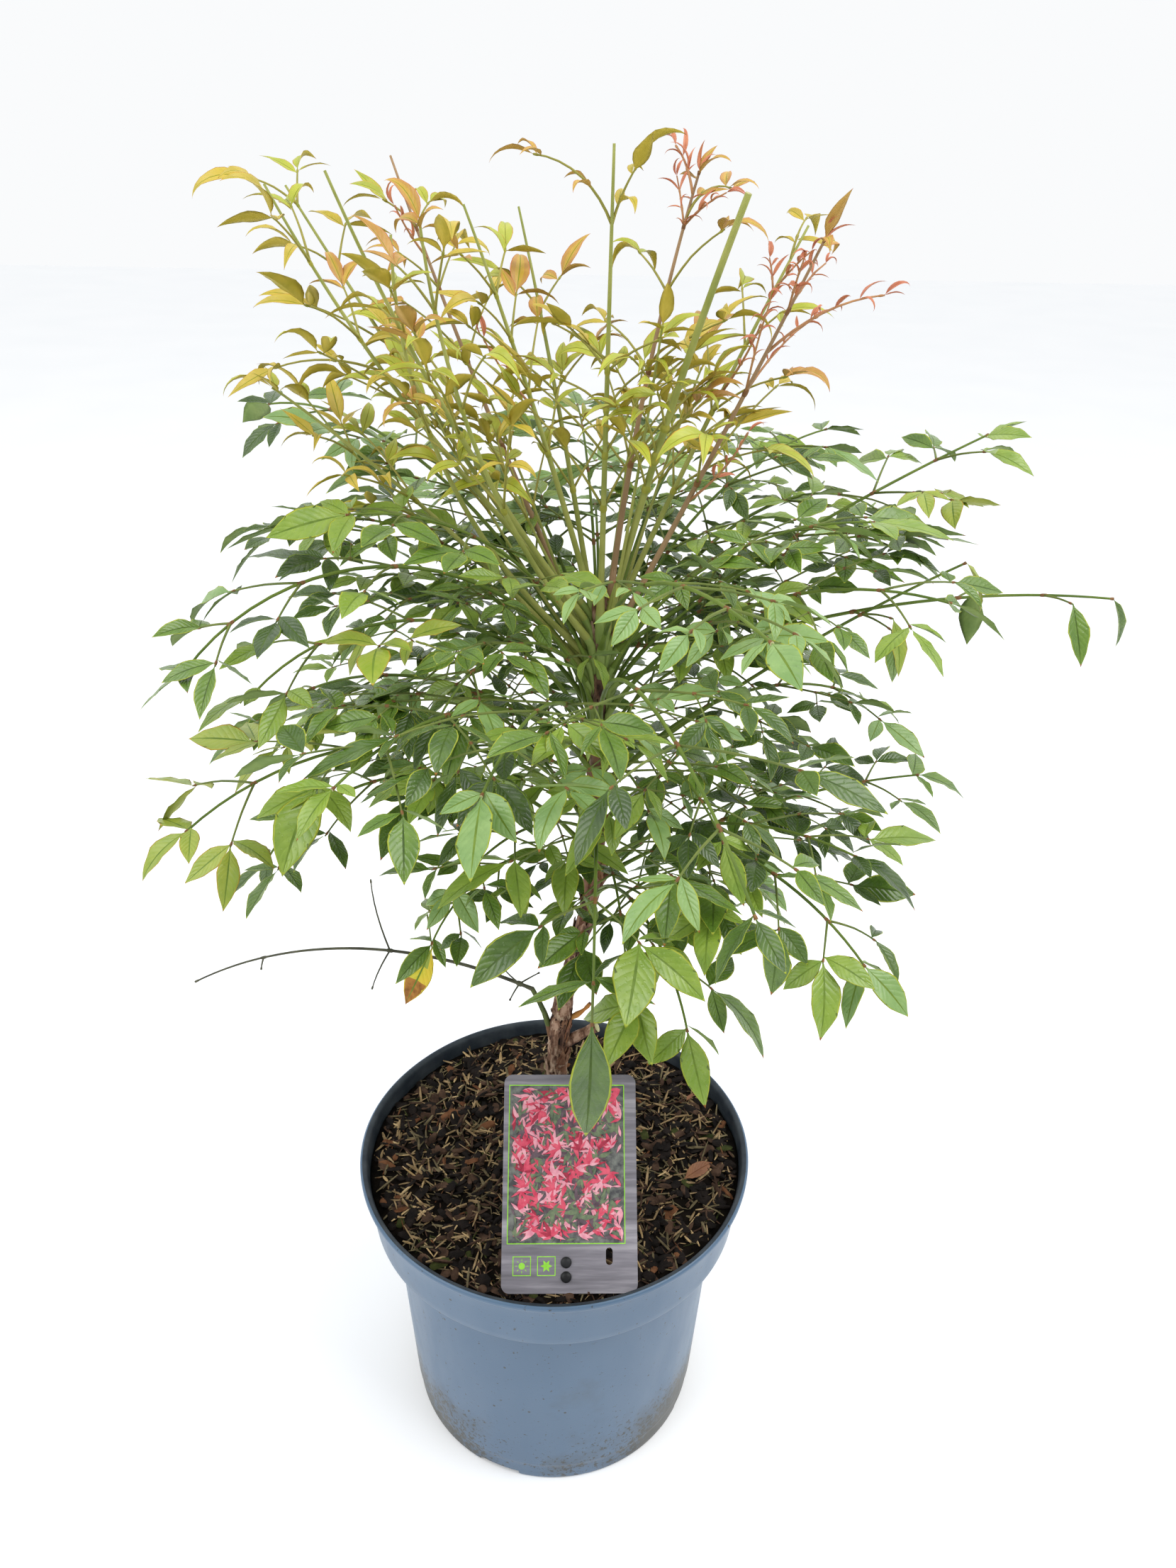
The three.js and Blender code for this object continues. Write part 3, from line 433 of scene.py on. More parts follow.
# ---------------- meshes from arrays
class Mesh:
    """Points, faces and tones that become one joined piece."""

    def __init__(self):
        self.points, self.uv, self.faces, self.tones, self.names = [], [], [], [], []
        self.count = 0

    def tone(self, name):
        if name not in self.names:
            self.names.append(name)
        return self.names.index(name)

    def add(self, points, faces, tones, uv=None):
        """faces: arrays of equal corner counts. tones: one material's name, or indices for each."""
        points = np.asarray(points, float).reshape(-1, 3)
        faces = [np.asarray(block, int) + self.count for block in faces]
        if isinstance(tones, str):
            tones = [np.full(len(block), self.tone(tones)) for block in faces]
        self.points.append(points)
        self.uv.append(np.zeros((len(points), 2)) if uv is None else np.asarray(uv, float))
        self.faces += faces
        self.tones += [np.asarray(block, int) for block in tones]
        self.count += len(points)

    def piece(self, name, slot, replaced=(), sharp=None):
        mesh = bpy.data.meshes.new(name)
        points = np.concatenate(self.points) * MM
        corners = np.concatenate([block.ravel() for block in self.faces])
        sizes = np.concatenate([np.full(len(block), block.shape[1]) for block in self.faces])
        mesh.vertices.add(len(points))
        mesh.vertices.foreach_set("co", points.ravel())
        mesh.loops.add(len(corners))
        mesh.loops.foreach_set("vertex_index", corners)
        mesh.polygons.add(len(sizes))
        mesh.polygons.foreach_set("loop_start", np.concatenate([[0], np.cumsum(sizes)[:-1]]))
        mesh.polygons.foreach_set("material_index", np.concatenate(self.tones))
        mesh.update(calc_edges=True)
        layer = mesh.uv_layers.new(name="UVMap")
        layer.data.foreach_set("uv", np.concatenate(self.uv)[corners].ravel())
        for tone in self.names:
            mesh.materials.append(MATERIALS[tone])
        if sharp is None:
            mesh.polygons.foreach_set("use_smooth", np.ones(len(sizes), bool))
        else:
            mesh.shade_smooth()
            mesh.set_sharp_from_angle(angle=radians(sharp))
        return placed(name, mesh, slot, replaced)


def link(name, data):
    made = bpy.data.objects.new(name, data)
    bpy.context.scene.collection.objects.link(made)
    return made


def placed(name, data, slot, replaced=()):
    piece = link(name, data)
    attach(piece, "root")
    if replaced:
        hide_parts(*replaced)
    return piece


def plain_mesh(points, faces):
    data = bpy.data.meshes.new("shape")
    data.from_pydata([tuple(c * MM for c in p) for p in points], [], faces)
    data.update()
    return data


def baked(thing):
    """The mesh of an object after its modifiers."""
    bpy.context.view_layer.update()
    return bpy.data.meshes.new_from_object(
        thing.evaluated_get(bpy.context.evaluated_depsgraph_get()))


def ring_faces(rings, sides):
    """Quads between rings of equally many corners, and a fan over each end."""
    i, k = np.meshgrid(np.arange(rings - 1), np.arange(sides), indexing="ij")
    a, b = i * sides + k, i * sides + (k + 1) % sides
    walls = np.stack([a, b, b + sides, a + sides], -1).reshape(-1, 4)
    fan = np.arange(1, sides - 1)
    end = (rings - 1) * sides
    low = np.stack([np.zeros_like(fan), fan + 1, fan], -1)
    high = np.stack([np.full_like(fan, end), end + fan, end + fan + 1], -1)
    return walls, low, high


def add_skin(mesh, profile, sides, place, tones, downward=False):
    """A closed skin turned round an axis, from pairs of radius and height that start and end on it.

    place: where a radius, an angle and a height lie; tones: one, or one a stretch; downward: the
    profile starts on top.
    """
    points = [place(0, 0, profile[0][1])]
    for r, z in profile[1:-1]:
        points += [place(r, angle, z) for angle in bearings(sides)]
    points.append(place(0, 0, profile[-1][1]))
    rings = len(profile) - 2
    walls, _, _ = ring_faces(rings, sides)
    k = np.arange(sides)
    after, start = (k + 1) % sides, 1 + (rings - 1) * sides
    first = np.stack([np.zeros_like(k), 1 + after, 1 + k], -1)
    last = np.stack([np.full_like(k, start + sides), start + k, start + after], -1)
    if downward:
        walls, first, last = walls[:, ::-1], first[:, [0, 2, 1]], last[:, [0, 2, 1]]
    if isinstance(tones, str):
        tones = [tones] * (rings - 1)
    kinds = [mesh.tone(name) for name in tones]
    mesh.add([tuple(point) for point in points], [walls + 1, first, last],
             [np.repeat(kinds, sides), *(np.full(sides, kinds[k]) for k in (0, -1))])


def tube(mesh, points, radii, tones, sides=6, across=None, flat=1.0, cap=None):
    """A limb round a line of points. tones: one, or one a stretch; flat: depth over width."""
    points = np.asarray([tuple(p) for p in points], float)
    radii = np.asarray(radii, float)
    flat = np.broadcast_to(np.asarray(flat, float), radii.shape)
    ahead = np.gradient(points, axis=0)
    ahead /= np.linalg.norm(ahead, axis=1, keepdims=True)
    if across is None:
        middle = ahead.mean(0)
        across = np.cross(np.eye(3)[np.argmin(np.abs(middle))], middle)
    across = np.broadcast_to(np.asarray(across, float), points.shape).copy()
    across -= ahead * (across * ahead).sum(1, keepdims=True)
    across /= np.linalg.norm(across, axis=1, keepdims=True)
    up = np.cross(ahead, across)
    angle = 2 * np.pi * np.arange(sides) / sides
    ring = (across[:, None] * (radii[:, None] * np.cos(angle))[..., None]
            + up[:, None] * (radii[:, None] * flat[:, None] * np.sin(angle))[..., None])
    walls, low, high = ring_faces(len(points), sides)
    stretch = [tones] * (len(points) - 1) if isinstance(tones, str) else tones
    wall_tones = np.repeat([mesh.tone(name) for name in stretch], sides)
    caps = np.full(len(low), mesh.tone(cap or stretch[-1]))
    run = np.concatenate([[0], np.cumsum(np.linalg.norm(np.diff(points, axis=0), axis=1))])
    uv = np.stack(np.broadcast_arrays(0.5 + 0.5 * np.cos(angle)[None], run[:, None] * 0.1), -1)
    mesh.add(points[:, None] + ring, [walls, low, high],
             [wall_tones, np.full(len(low), wall_tones[0]), caps], uv.reshape(-1, 2))


# ---------------- leaves
BEND_STEPS = 60
LEAF_STEPS = np.array([0, 3, 6, 11, 18, 25, 32, 40, 47, 53, 57, 60])
LEAF_STOPS = LEAF_STEPS / BEND_STEPS
LEAF_ROWS = len(LEAF_STOPS) - 1
LEAF_COLUMNS = np.array([-1, -0.9, -0.45, -0.07, 0.07, 0.45, 0.9, 1])
LOW_COLUMNS = np.array([-0.45, 0, 0.45])
# The parts of a leaf, in the order of their tones.
INNER, OUTER, MARGIN, RIB, UNDER, TIP_INNER, TIP_OUTER, POINT, FOOT = range(9)
STRIP_PARTS = (MARGIN, OUTER, INNER, RIB, INNER, OUTER, MARGIN)
TIP_PARTS = {INNER: TIP_INNER, OUTER: TIP_OUTER}
FOOT_ROWS, TIP_ROWS = 4, 5
MATURE_OUTLINE = np.array([0.05, 0.1, 0.28, 0.6, 0.88, 1, 0.96, 0.79, 0.54, 0.28, 0.11, 0])
YOUNG_OUTLINE = np.array([0.06, 0.12, 0.36, 0.74, 0.98, 0.96, 0.82, 0.59, 0.37, 0.19, 0.07, 0])
BLADE_HALF_THICK = 0.13
GROOVE, YOUNG_GROOVE = 0.22, 0.11  # depth of the midrib's groove
RIPPLES = 17  # radians of the wavy edge along a leaf
SIDE_SHIFT = 1.7  # by how much one edge's waves lag behind the other's


def leaf_topology():
    """Faces of one leaf, top, bottom and base, and which part of it each face is."""
    columns, inner = len(LEAF_COLUMNS), len(LOW_COLUMNS)
    tip = LEAF_ROWS * columns

    def top(i, j):
        return i * columns + j

    def bottom(i, j):
        if j == 0:
            return top(i, 0)
        return top(i, columns - 1) if j == inner + 1 else tip + 1 + i * inner + j - 1

    quads, quad_parts = [], []
    for i in range(LEAF_ROWS - 1):
        for j, part in enumerate(STRIP_PARTS):
            quads.append((top(i, j), top(i + 1, j), top(i + 1, j + 1), top(i, j + 1)))
            if i >= LEAF_ROWS - TIP_ROWS:
                part = TIP_PARTS.get(part, part)
            quad_parts.append(FOOT if i < FOOT_ROWS and part == INNER else part)
        for j in range(inner + 1):
            quads.append((bottom(i, j), bottom(i, j + 1), bottom(i + 1, j + 1), bottom(i + 1, j)))
            quad_parts.append(UNDER)
    last = LEAF_ROWS - 1
    tris = [(top(last, j), tip, top(last, j + 1)) for j in range(columns - 1)]
    tris += [(bottom(last, j), bottom(last, j + 1), tip) for j in range(inner + 1)]
    ring = [top(0, j) for j in range(columns)] + [bottom(0, j) for j in range(inner, 0, -1)]
    base = [(ring[0], ring[j], ring[j + 1]) for j in range(1, len(ring) - 1)]
    tri_parts = [POINT] * len(tris) + [UNDER] * len(base)
    return np.array(quads), np.array(quad_parts), np.array(tris + base), np.array(tri_parts)


LEAF_QUADS, QUAD_PARTS, LEAF_TRIS, TRI_PARTS = leaf_topology()


def leaf_tones(leaf):
    """The tone of each part: five of the look's, then tip, point and foot of the blade."""
    inner, outer, margin, rib, under = LOOKS[leaf["look"]]
    point = "tip_brown" if leaf["tip"] else margin
    if leaf["look"] == "yellow":
        return inner, outer, margin, rib, under, "tip_brown", "tip_brown", point, "leaf_lime"
    return inner, outer, margin, rib, under, inner, outer, point, inner


def running(steps):
    """Sums along a blade that start from nothing, as shares of its length."""
    return np.concatenate([np.zeros((len(steps), 1)), np.cumsum(steps[:, :-1], 1)], 1) / BEND_STEPS


def leaf_map(columns):
    """Where the points of one side lie on the flat blade."""
    return np.stack(np.broadcast_arrays(0.5 + 0.5 * columns, LEAF_STOPS[:LEAF_ROWS, None]),
                    -1).reshape(-1, 2)


def add_leaves(mesh, leaves):
    """Curved, folded leaf blades with two sides, all made at once."""
    read = {key: np.array([leaf[key] for leaf in leaves], float)
            for key in ("length", "width", "curl", "fold", "twist", "wave", "phase", "late")}
    root, along, across, face = (np.array([tuple(leaf[key]) for leaf in leaves])[:, None, :]
                                 for key in ("root", "along", "across", "face"))
    count = len(leaves)
    t = np.linspace(0, 1, BEND_STEPS + 1)
    # The blade bends down along its length, and its chord keeps close to the direction `along`.
    bend = -np.radians(read["curl"])[:, None] * t[None] ** read["late"][:, None]
    u, w = running(np.cos(bend)), running(np.sin(bend))
    lean = -np.arctan2(w[:, -1], u[:, -1]) * 0.6
    u, w = (u * np.cos(lean)[:, None] - w * np.sin(lean)[:, None],
            u * np.sin(lean)[:, None] + w * np.cos(lean)[:, None])
    u, w, bend = u[:, LEAF_STEPS], w[:, LEAF_STEPS], bend[:, LEAF_STEPS] + lean[:, None]
    length, half = read["length"][:, None], read["width"][:, None] / 2
    young = np.array([leaf["young"] for leaf in leaves])[:, None]
    outline = np.where(young, YOUNG_OUTLINE[None], MATURE_OUTLINE[None])
    middle = root + along * (length * u)[..., None] + face * (length * w)[..., None]
    normal = -along * np.sin(bend)[..., None] + face * np.cos(bend)[..., None]
    turn = (np.radians(read["twist"])[:, None] * LEAF_STOPS[None])[..., None]
    wide = across * np.cos(turn) + normal * np.sin(turn)
    normal = normal * np.cos(turn) - across * np.sin(turn)

    def sheet(columns, side):
        """The blade's upper side (1) or its lower one (-1), which carries the midrib."""
        v = columns[None, None, :]
        reach = (half * outline)[..., None]
        fold = np.radians(read["fold"])[:, None, None] * (1 - 0.35 * np.abs(v))
        ripple = np.sin(LEAF_STOPS[None, :, None] * RIPPLES + read["phase"][:, None, None]
                        + (v > 0) * SIDE_SHIFT)
        lift = reach * (np.abs(v) * np.sin(fold) + read["wave"][:, None, None] * v ** 2 * ripple)
        thick = BLADE_HALF_THICK * (1 - v ** 2) * np.minimum(outline * 1.6, 1)[..., None]
        groove = (np.abs(v) < 0.2) * np.minimum(outline * 1.4, 1)[..., None]
        groove = groove * np.where(young, YOUNG_GROOVE, GROOVE)[..., None]
        lift = lift + (thick - groove * 0.9 if side > 0 else -thick - groove * 1.6)
        return (middle[:, :, None] + wide[:, :, None] * (v * reach * np.cos(fold))[..., None]
                + normal[:, :, None] * lift[..., None])

    top, low = (sheet(columns, side)[:, :LEAF_ROWS].reshape(count, -1, 3)
                for columns, side in ((LEAF_COLUMNS, 1), (LOW_COLUMNS, -1)))
    points = np.concatenate([top, middle[:, LEAF_ROWS:], low], 1)
    flat = np.concatenate([leaf_map(LEAF_COLUMNS), [[0.5, 1]], leaf_map(LOW_COLUMNS)])
    offset = (np.arange(count) * points.shape[1])[:, None, None]
    looks = np.array([[mesh.tone(name) for name in leaf_tones(leaf)] for leaf in leaves])
    mesh.add(points.reshape(-1, 3),
             [(LEAF_QUADS[None] + offset).reshape(-1, 4),
              (LEAF_TRIS[None] + offset).reshape(-1, 3)],
             [looks[:, QUAD_PARTS].ravel(), looks[:, TRI_PARTS].ravel()],
             np.tile(flat, (count, 1)))


def dressed(leaf, look, dice, style, size=1.0):
    """A grown leaf with its look and its own bend."""
    young = style == "young"
    scale = LEAF_SIZE[style] * size * dice.near(1, 0.16)
    return dict(leaf, look=look, young=young, length=leaf["length"] * scale,
                width=leaf["width"] * scale * LEAF_SLIM[style],
                curl=dice.near(70, 55) if young else dice.near(28, 22), late=1.6 if young else 1.0,
                fold=dice.near(28, 14) if young else dice.near(15, 13),
                twist=dice.near(0, 40 if young else 18), wave=0.06 if young else 0.08,
                phase=dice.roll() * 6.3, tip=dice.roll() < 0.22)


# ---------------- limbs with their finer growth
TWIG_TONES = {"old": ("twig_green", "joint_red"), "front": ("twig_green", "joint_red"),
              "young": ("twig_young", "joint_young")}
# Radii of a frond's stem at its foot and its end, by name or by style.
STEM_RADII = {"old": (1.3, 0.6), "front": (1.3, 0.6), "young": (1.7, 0.6), "top_11": (1.9, 1.45),
              "inner": (1.0, 0.5), "filler": (1.0, 0.5)}
THICK_STEM, THICK_STEM_JOINT = "top_11", 0.42
# The sheath at a frond's foot: height, distance from the trunk, width and depth of each ring.
SHEATH = [(-22, -1.4, 0.4, 0.5), (-15, -0.4, 0.8, 0.5), (-8, 0.5, 1, 0.6), (-2, 1.4, 0.95, 0.75)]
FINE_SEEDS, SHOOT_SEEDS, SISTER_SEEDS = (70000, 91), (5000, 17), (9000, 13)
SMALL_LEAF = 0.82
RED_LEAF_STEP = 9


def seeded(seeds, number):
    return Dice(seeds[0] + seeds[1] * number)


def limb(mesh, arc, joints, steps, radii, tone, joint_tone, swell=0.4, reach=1.5, sides=7,
         cap=None):
    """A limb along an arc. swell: how much it thickens at a joint; reach: how far from there."""
    def from_joint(t):
        return min(abs(t - joint) * arc.length for joint in joints)

    places = {i / steps for i in range(steps + 1)}
    for t in joints:
        places.update(min(max(t + d * reach / arc.length, 0), 1) for d in (-1, -0.45, 0.45, 1))
    places = sorted(places)
    sizes = [(radii[0] + (radii[1] - radii[0]) * t)
             * (1 + swell * max(0, 1 - from_joint(t) / reach) ** 0.5) for t in places]
    tones = [joint_tone if from_joint((a + b) / 2) < reach * 0.8 else tone
             for a, b in zip(places, places[1:])]
    tube(mesh, [arc.at(t) for t in places], sizes, tones, sides,
         [tuple(arc.side(t)) for t in places], cap=cap)


def three_leaves(dice, arc, rule):
    return grow_pair(dice, arc, 1, rule) + [grow_end_leaf(dice, arc, rule)]


def twiglet(dice, leaf, rule, style, look):
    """A short twig with three small leaflets, in the place of one leaflet of a middle pair."""
    way, tilt = angles_of(leaf["along"])
    length = leaf["length"] * dice.near(0.52, 0.1)
    arc = Arc(leaf["root"], way, tilt + 8, tilt - 10, 0, length, 3)
    small = dict(rule, leaf=rule["leaf"] * SMALL_LEAF)
    return arc, [dressed(one, look, dice, style) for one in three_leaves(dice, arc, small)]


def red_leaf(dice, arc, t, turn, length):
    leaf = grow_leaf(dice, arc.at(t), arc.direction(t), arc.side(t), turn, dice.near(-10, 30),
                     length, 0.8, 0.2)
    leaf = dressed(leaf, "red", dice, "young")
    leaf.update(curl=dice.near(110, 60), fold=30, tip=False)
    return leaf


def red_spray(dice, arc, start=0.35):
    """The narrow curled leaves of the newest growth, in pairs along a twig."""
    count = max(2, int(arc.length * (1 - start) / RED_LEAF_STEP))
    leaves = [red_leaf(dice, arc, start + (1 - start) * k / count, sign * dice.near(46, 18),
                       dice.near(13, 4)) for k in range(count) for sign in (1, -1)]
    return leaves + [red_leaf(dice, arc, 1, dice.near(0, 25), dice.near(15, 4)) for _ in range(2)]


def grow_fine(grown, index, twigs, leaves, size=1.0):
    """Twigs and leaves of one frond, carried on to the finest twigs."""
    plan, style = grown["plan"], grown["plan"]["style"]
    dice, young = seeded(FINE_SEEDS, index), style == "young"
    shares = FROND_SHARES.get(plan["name"], SHARES[style])
    if young and plan["name"] == "inner":
        shares = INNER_YOUNG
    tones = TWIG_TONES[style]
    red_from = RED_FRONDS.get(plan["name"], 2)
    for number, twig in enumerate(grown["sides"]):
        arc = twig["arc"]
        look = dice.pick(INNER_YOUNG if young and number < 2 else shares)
        if (number // 2) / max(plan["pairs"], 1) >= red_from:
            limb(twigs, arc, [0.35, 0.7], 5, (0.6, 0.35), "twig_red", "twig_red", sides=6)
            leaves += red_spray(dice, arc)
            continue
        joints = [t - ROOT_STEP / arc.length for t in ((1, 0.55) if twig["middle"] else (1,))]
        limb(twigs, arc, joints, 6, (0.68, 0.44), *tones, swell=0.6, reach=1.1, sides=5)
        if young:
            leaves += [dressed(leaf, look, dice, style, size) for leaf in twig["middle"]]
            twig["middle"] = []
        for leaf in twig["middle"]:
            small, more = twiglet(dice, leaf, plan, style, look)
            limb(twigs, small, [1 - ROOT_STEP / small.length], 3, (0.42, 0.32), *tones, swell=0.6,
                 reach=0.9, sides=5)
            leaves += more
        leaves += [dressed(leaf, look, dice, style, size)
                   for leaf in ([] if plan["lone"] else twig["pair"]) + [twig["end"]]]
    look = dice.pick(shares)
    tip = grown["tip"][2:] if plan["lone"] else grown["tip"]
    if plan["name"] in RED_FRONDS and tip:
        leaves += red_spray(dice, grown["arc"], 0.88)
        look, size = "amber", 0.8
    leaves += [dressed(leaf, look, dice, style, size) for leaf in tip]
    if plan["name"] == "front_1":
        hang_leaf(grown["arc"], leaves[-1], twigs)


def facing(along):
    """Axes of a leaf that turns its upper side to the front."""
    face = (FRONT_SIDE - along * FRONT_SIDE.dot(along)).normalized()
    return dict(along=along, face=face, across=face.cross(along))


def hang_leaf(arc, leaf, twigs):
    stalk = Arc(arc.at(1), -95, -72, -86, 0, HANGING_STALK, 4)
    limb(twigs, stalk, [0.96], 4, (0.75, 0.6), "twig_green", "joint_red", swell=0.6, reach=1.2)
    leaf.update(HANGING_LEAF, root=stalk.at(1), **facing(heading(-100, -84)))


def grow_shoot(grown, number, twigs, leaves):
    """One of the long, mostly bare side shoots of the young growth."""
    _, t, way, rise, fall, length, look = SHOOTS[number]
    dice = seeded(SHOOT_SEEDS, number)
    arc = Arc(grown["arc"].at(t), way, rise, fall, 0, length, 8)
    tone = "twig_red" if look == "red" else "twig_young"
    limb(twigs, arc, [0.45, 0.97], 8, (0.75, 0.4), tone, tone, swell=0.6, reach=1.2, sides=6)
    if look == "red":
        leaves += red_spray(dice, arc, 0.4)
        return
    rule = STYLES["young"]
    leaves += [dressed(leaf, look, dice, "young", 0.8)
               for leaf in grow_pair(dice, arc, 0.45, rule) + three_leaves(dice, arc, rule)]


def sister(plan, index, side):
    """A shorter frond from the same part of the trunk, which fills the crown farther in."""
    dice = Dice(SISTER_SEEDS[0] + SISTER_SEEDS[1] * index + side)
    drop, away, share, lean = (dice.near(14, 8), dice.near(27, 9), dice.near(0.56, 0.1),
                               dice.near(-2, 10))
    inner = dict(plan, name="inner", foot=plan["foot"] - drop, way=plan["way"] + side * away,
                 rise=plan["rise"] + lean, cut=0, sweep=0, stalk=False)
    if plan["style"] == "young":
        inner.update(length=plan["length"] * (share + 0.08), bare=0.6, pairs=2,
                     reach=plan["reach"] * 0.6, leaf=28)
        return inner
    if plan["foot"] > 530:
        inner["rise"] += 12
    inner.update(length=plan["length"] * share, bare=0.28, pairs=3, reach=plan["reach"] * 0.66,
                 leaf=min(plan["leaf"], 37) * 0.92)
    return inner


def stem_tones(plan):
    if plan["name"] in MAUVE_FRONDS:
        return "stalk_mauve", "joint_red"
    if plan["style"] == "young":
        return "stalk_lime", "joint_young"
    return "stalk_green", "joint_red"


def add_stem(mesh, grown):
    """A frond's stalk and stem, and the sheath that clasps the trunk at its foot."""
    plan, arc, foot = grown["plan"], grown["arc"], grown["plan"]["foot"]
    tones = stem_tones(plan)
    radii = STEM_RADII.get(plan["name"], STEM_RADII[plan["style"]])
    joints = grown["nodes"] + [THICK_STEM_JOINT] * (plan["name"] == THICK_STEM)
    limb(mesh, arc, joints, FROND_STEPS, radii, *tones, reach=1.9, sides=8, cap="cut_end")
    out = heading(plan["way"], 0)
    thick, wide = radii[0], radii[0] + 1.2
    points = [trunk_axis(foot + rise) + out * (trunk_radius(foot) + reach)
              for rise, reach, _, _ in SHEATH] + [arc.at(t) for t in (0.018, 0.05, 0.1)]
    sizes = [wide * size for _, _, size, _ in SHEATH] + [wide * 0.85, thick * 1.25, thick * 0.9]
    flat = [depth for _, _, _, depth in SHEATH] + [0.85, 0.95, 1]
    sheath = "sheath_green" if foot > 505 else "sheath_brown"
    tube(mesh, points, sizes, [sheath] * 4 + [tones[0]] * 2, 9, tuple(arc.side(0)), flat)


# ---------------- materials
MATERIALS = {}


class Nodes:
    """A node tree in the making: each call adds a node, feeds it and returns its output."""

    def __init__(self, tree):
        self.tree = tree

    def feed(self, socket, value):
        """Gives a socket a constant, or what another node puts out."""
        if isinstance(value, bpy.types.NodeSocket):
            self.tree.links.new(value, socket)
        else:
            socket.default_value = value

    def add(self, kind, output=0, **settings):
        made = self.tree.nodes.new("ShaderNode" + kind)
        for key, value in settings.items():
            socket = key.replace("_", " ")
            if socket in made.inputs:
                self.feed(made.inputs[socket], value)
            else:
                setattr(made, key, value)
        return made.outputs[output]

    def place(self, scale=(1, 1, 1), source="Object"):
        return self.add("Mapping", Vector=self.add("TexCoord", source), Scale=scale)

    def axes(self, vector):
        return self.add("SeparateXYZ", Vector=vector).node.outputs

    def noise(self, vector, scale, detail=4, rough=0.55):
        return self.add("TexNoise", "Fac", Vector=vector, Scale=scale, Detail=detail,
                        Roughness=rough)

    def ramp(self, value, *stops):
        colour = self.add("ValToRGB", "Color", Fac=value)
        elements = colour.node.color_ramp.elements
        while len(elements) < len(stops):
            elements.new(0.5)
        for element, (place, shade) in zip(elements, stops):
            element.position, element.color = place, (*shade, 1)
        return colour

    def ranged(self, value, low, high, to_low, to_high):
        return self.add("MapRange", "Result", Value=value, From_Min=low, From_Max=high,
                        To_Min=to_low, To_Max=to_high)

    def maths(self, operation, *values):
        result = self.add("Math", operation=operation)
        for socket, value in zip(result.node.inputs, values):
            self.feed(socket, value)
        return result


class Surface(Nodes):
    """A material, which its name finds in MATERIALS."""

    def __init__(self, name):
        MATERIALS[name] = bpy.data.materials.new(name)
        MATERIALS[name].use_nodes = True
        super().__init__(MATERIALS[name].node_tree)
        self.shader = self.tree.nodes["Principled BSDF"]

    def shade(self, **settings):
        for key, value in settings.items():
            self.feed(self.shader.inputs[key.replace("_", " ")], value)

    def bump(self, height, strength, distance, **after):
        normal = self.add("Bump", "Normal", Height=height, Strength=strength, Distance=distance,
                          **after)
        self.shade(Normal=normal)
        return normal

    def mottle(self, dark, light, rough, grain, specular=0.2):
        """Two near tones in a soft noise, with a rougher and a smoother part."""
        where = self.place()
        self.shade(Base_Color=self.ramp(self.noise(where, grain), (0.35, dark), (0.65, light)),
                   Roughness=self.ranged(self.noise(where, grain * 3), 0.3, 0.7, rough - 0.06,
                                         rough + 0.06), Specular_IOR_Level=specular)
        return where

    def veins(self):
        """Herringbone veins that sink in, with the blade bulging between them."""
        across, along, _ = self.axes(self.place(source="UV"))
        off_middle = self.maths("ABSOLUTE", self.maths("MULTIPLY_ADD", across, 2, -1))
        run = self.maths("MULTIPLY_ADD", off_middle, -0.24, along)
        veins = self.maths("PINGPONG", self.maths("MULTIPLY", run, 9), 0.5)
        return self.maths("MULTIPLY", veins, self.maths("MULTIPLY_ADD", veins, -4, 4))


LEAF_TONES = {
    "leaf_dark": ((0.028, 0.062, 0.008), (0.058, 0.108, 0.016), 0.27, 0.34),
    "leaf_deep": ((0.05, 0.105, 0.012), (0.088, 0.16, 0.02), 0.27, 0.34),
    "leaf_mid": ((0.09, 0.175, 0.018), (0.145, 0.245, 0.03), 0.28, 0.3),
    "leaf_fresh": ((0.17, 0.28, 0.026), (0.25, 0.36, 0.045), 0.31, 0.28),
    # A grey-green leaf with the white sheen of glossy leaves painted into its colour: painted
    # sheen.
    "leaf_pale": ((0.17, 0.3, 0.08), (0.25, 0.39, 0.12), 0.36, 0.27),
    "leaf_lime": ((0.23, 0.32, 0.026), (0.33, 0.39, 0.045), 0.38, 0.25),
    "leaf_yellow": ((0.6, 0.52, 0.015), (0.72, 0.5, 0.02), 0.45, 0.3),
    "young_green": ((0.33, 0.38, 0.018), (0.44, 0.46, 0.035), 0.45, 0.16),
    "young_gold": ((0.44, 0.35, 0.018), (0.56, 0.42, 0.04), 0.45, 0.16),
    "young_amber": ((0.46, 0.29, 0.022), (0.58, 0.37, 0.045), 0.46, 0.16),
    "young_bronze": ((0.42, 0.22, 0.03), (0.56, 0.31, 0.06), 0.48, 0.16),
    "young_red": ((0.45, 0.12, 0.055), (0.6, 0.22, 0.1), 0.5, 0.1),
    "dead_leaf": ((0.15, 0.05, 0.02), (0.3, 0.13, 0.05), 0.7, 0.5),
}
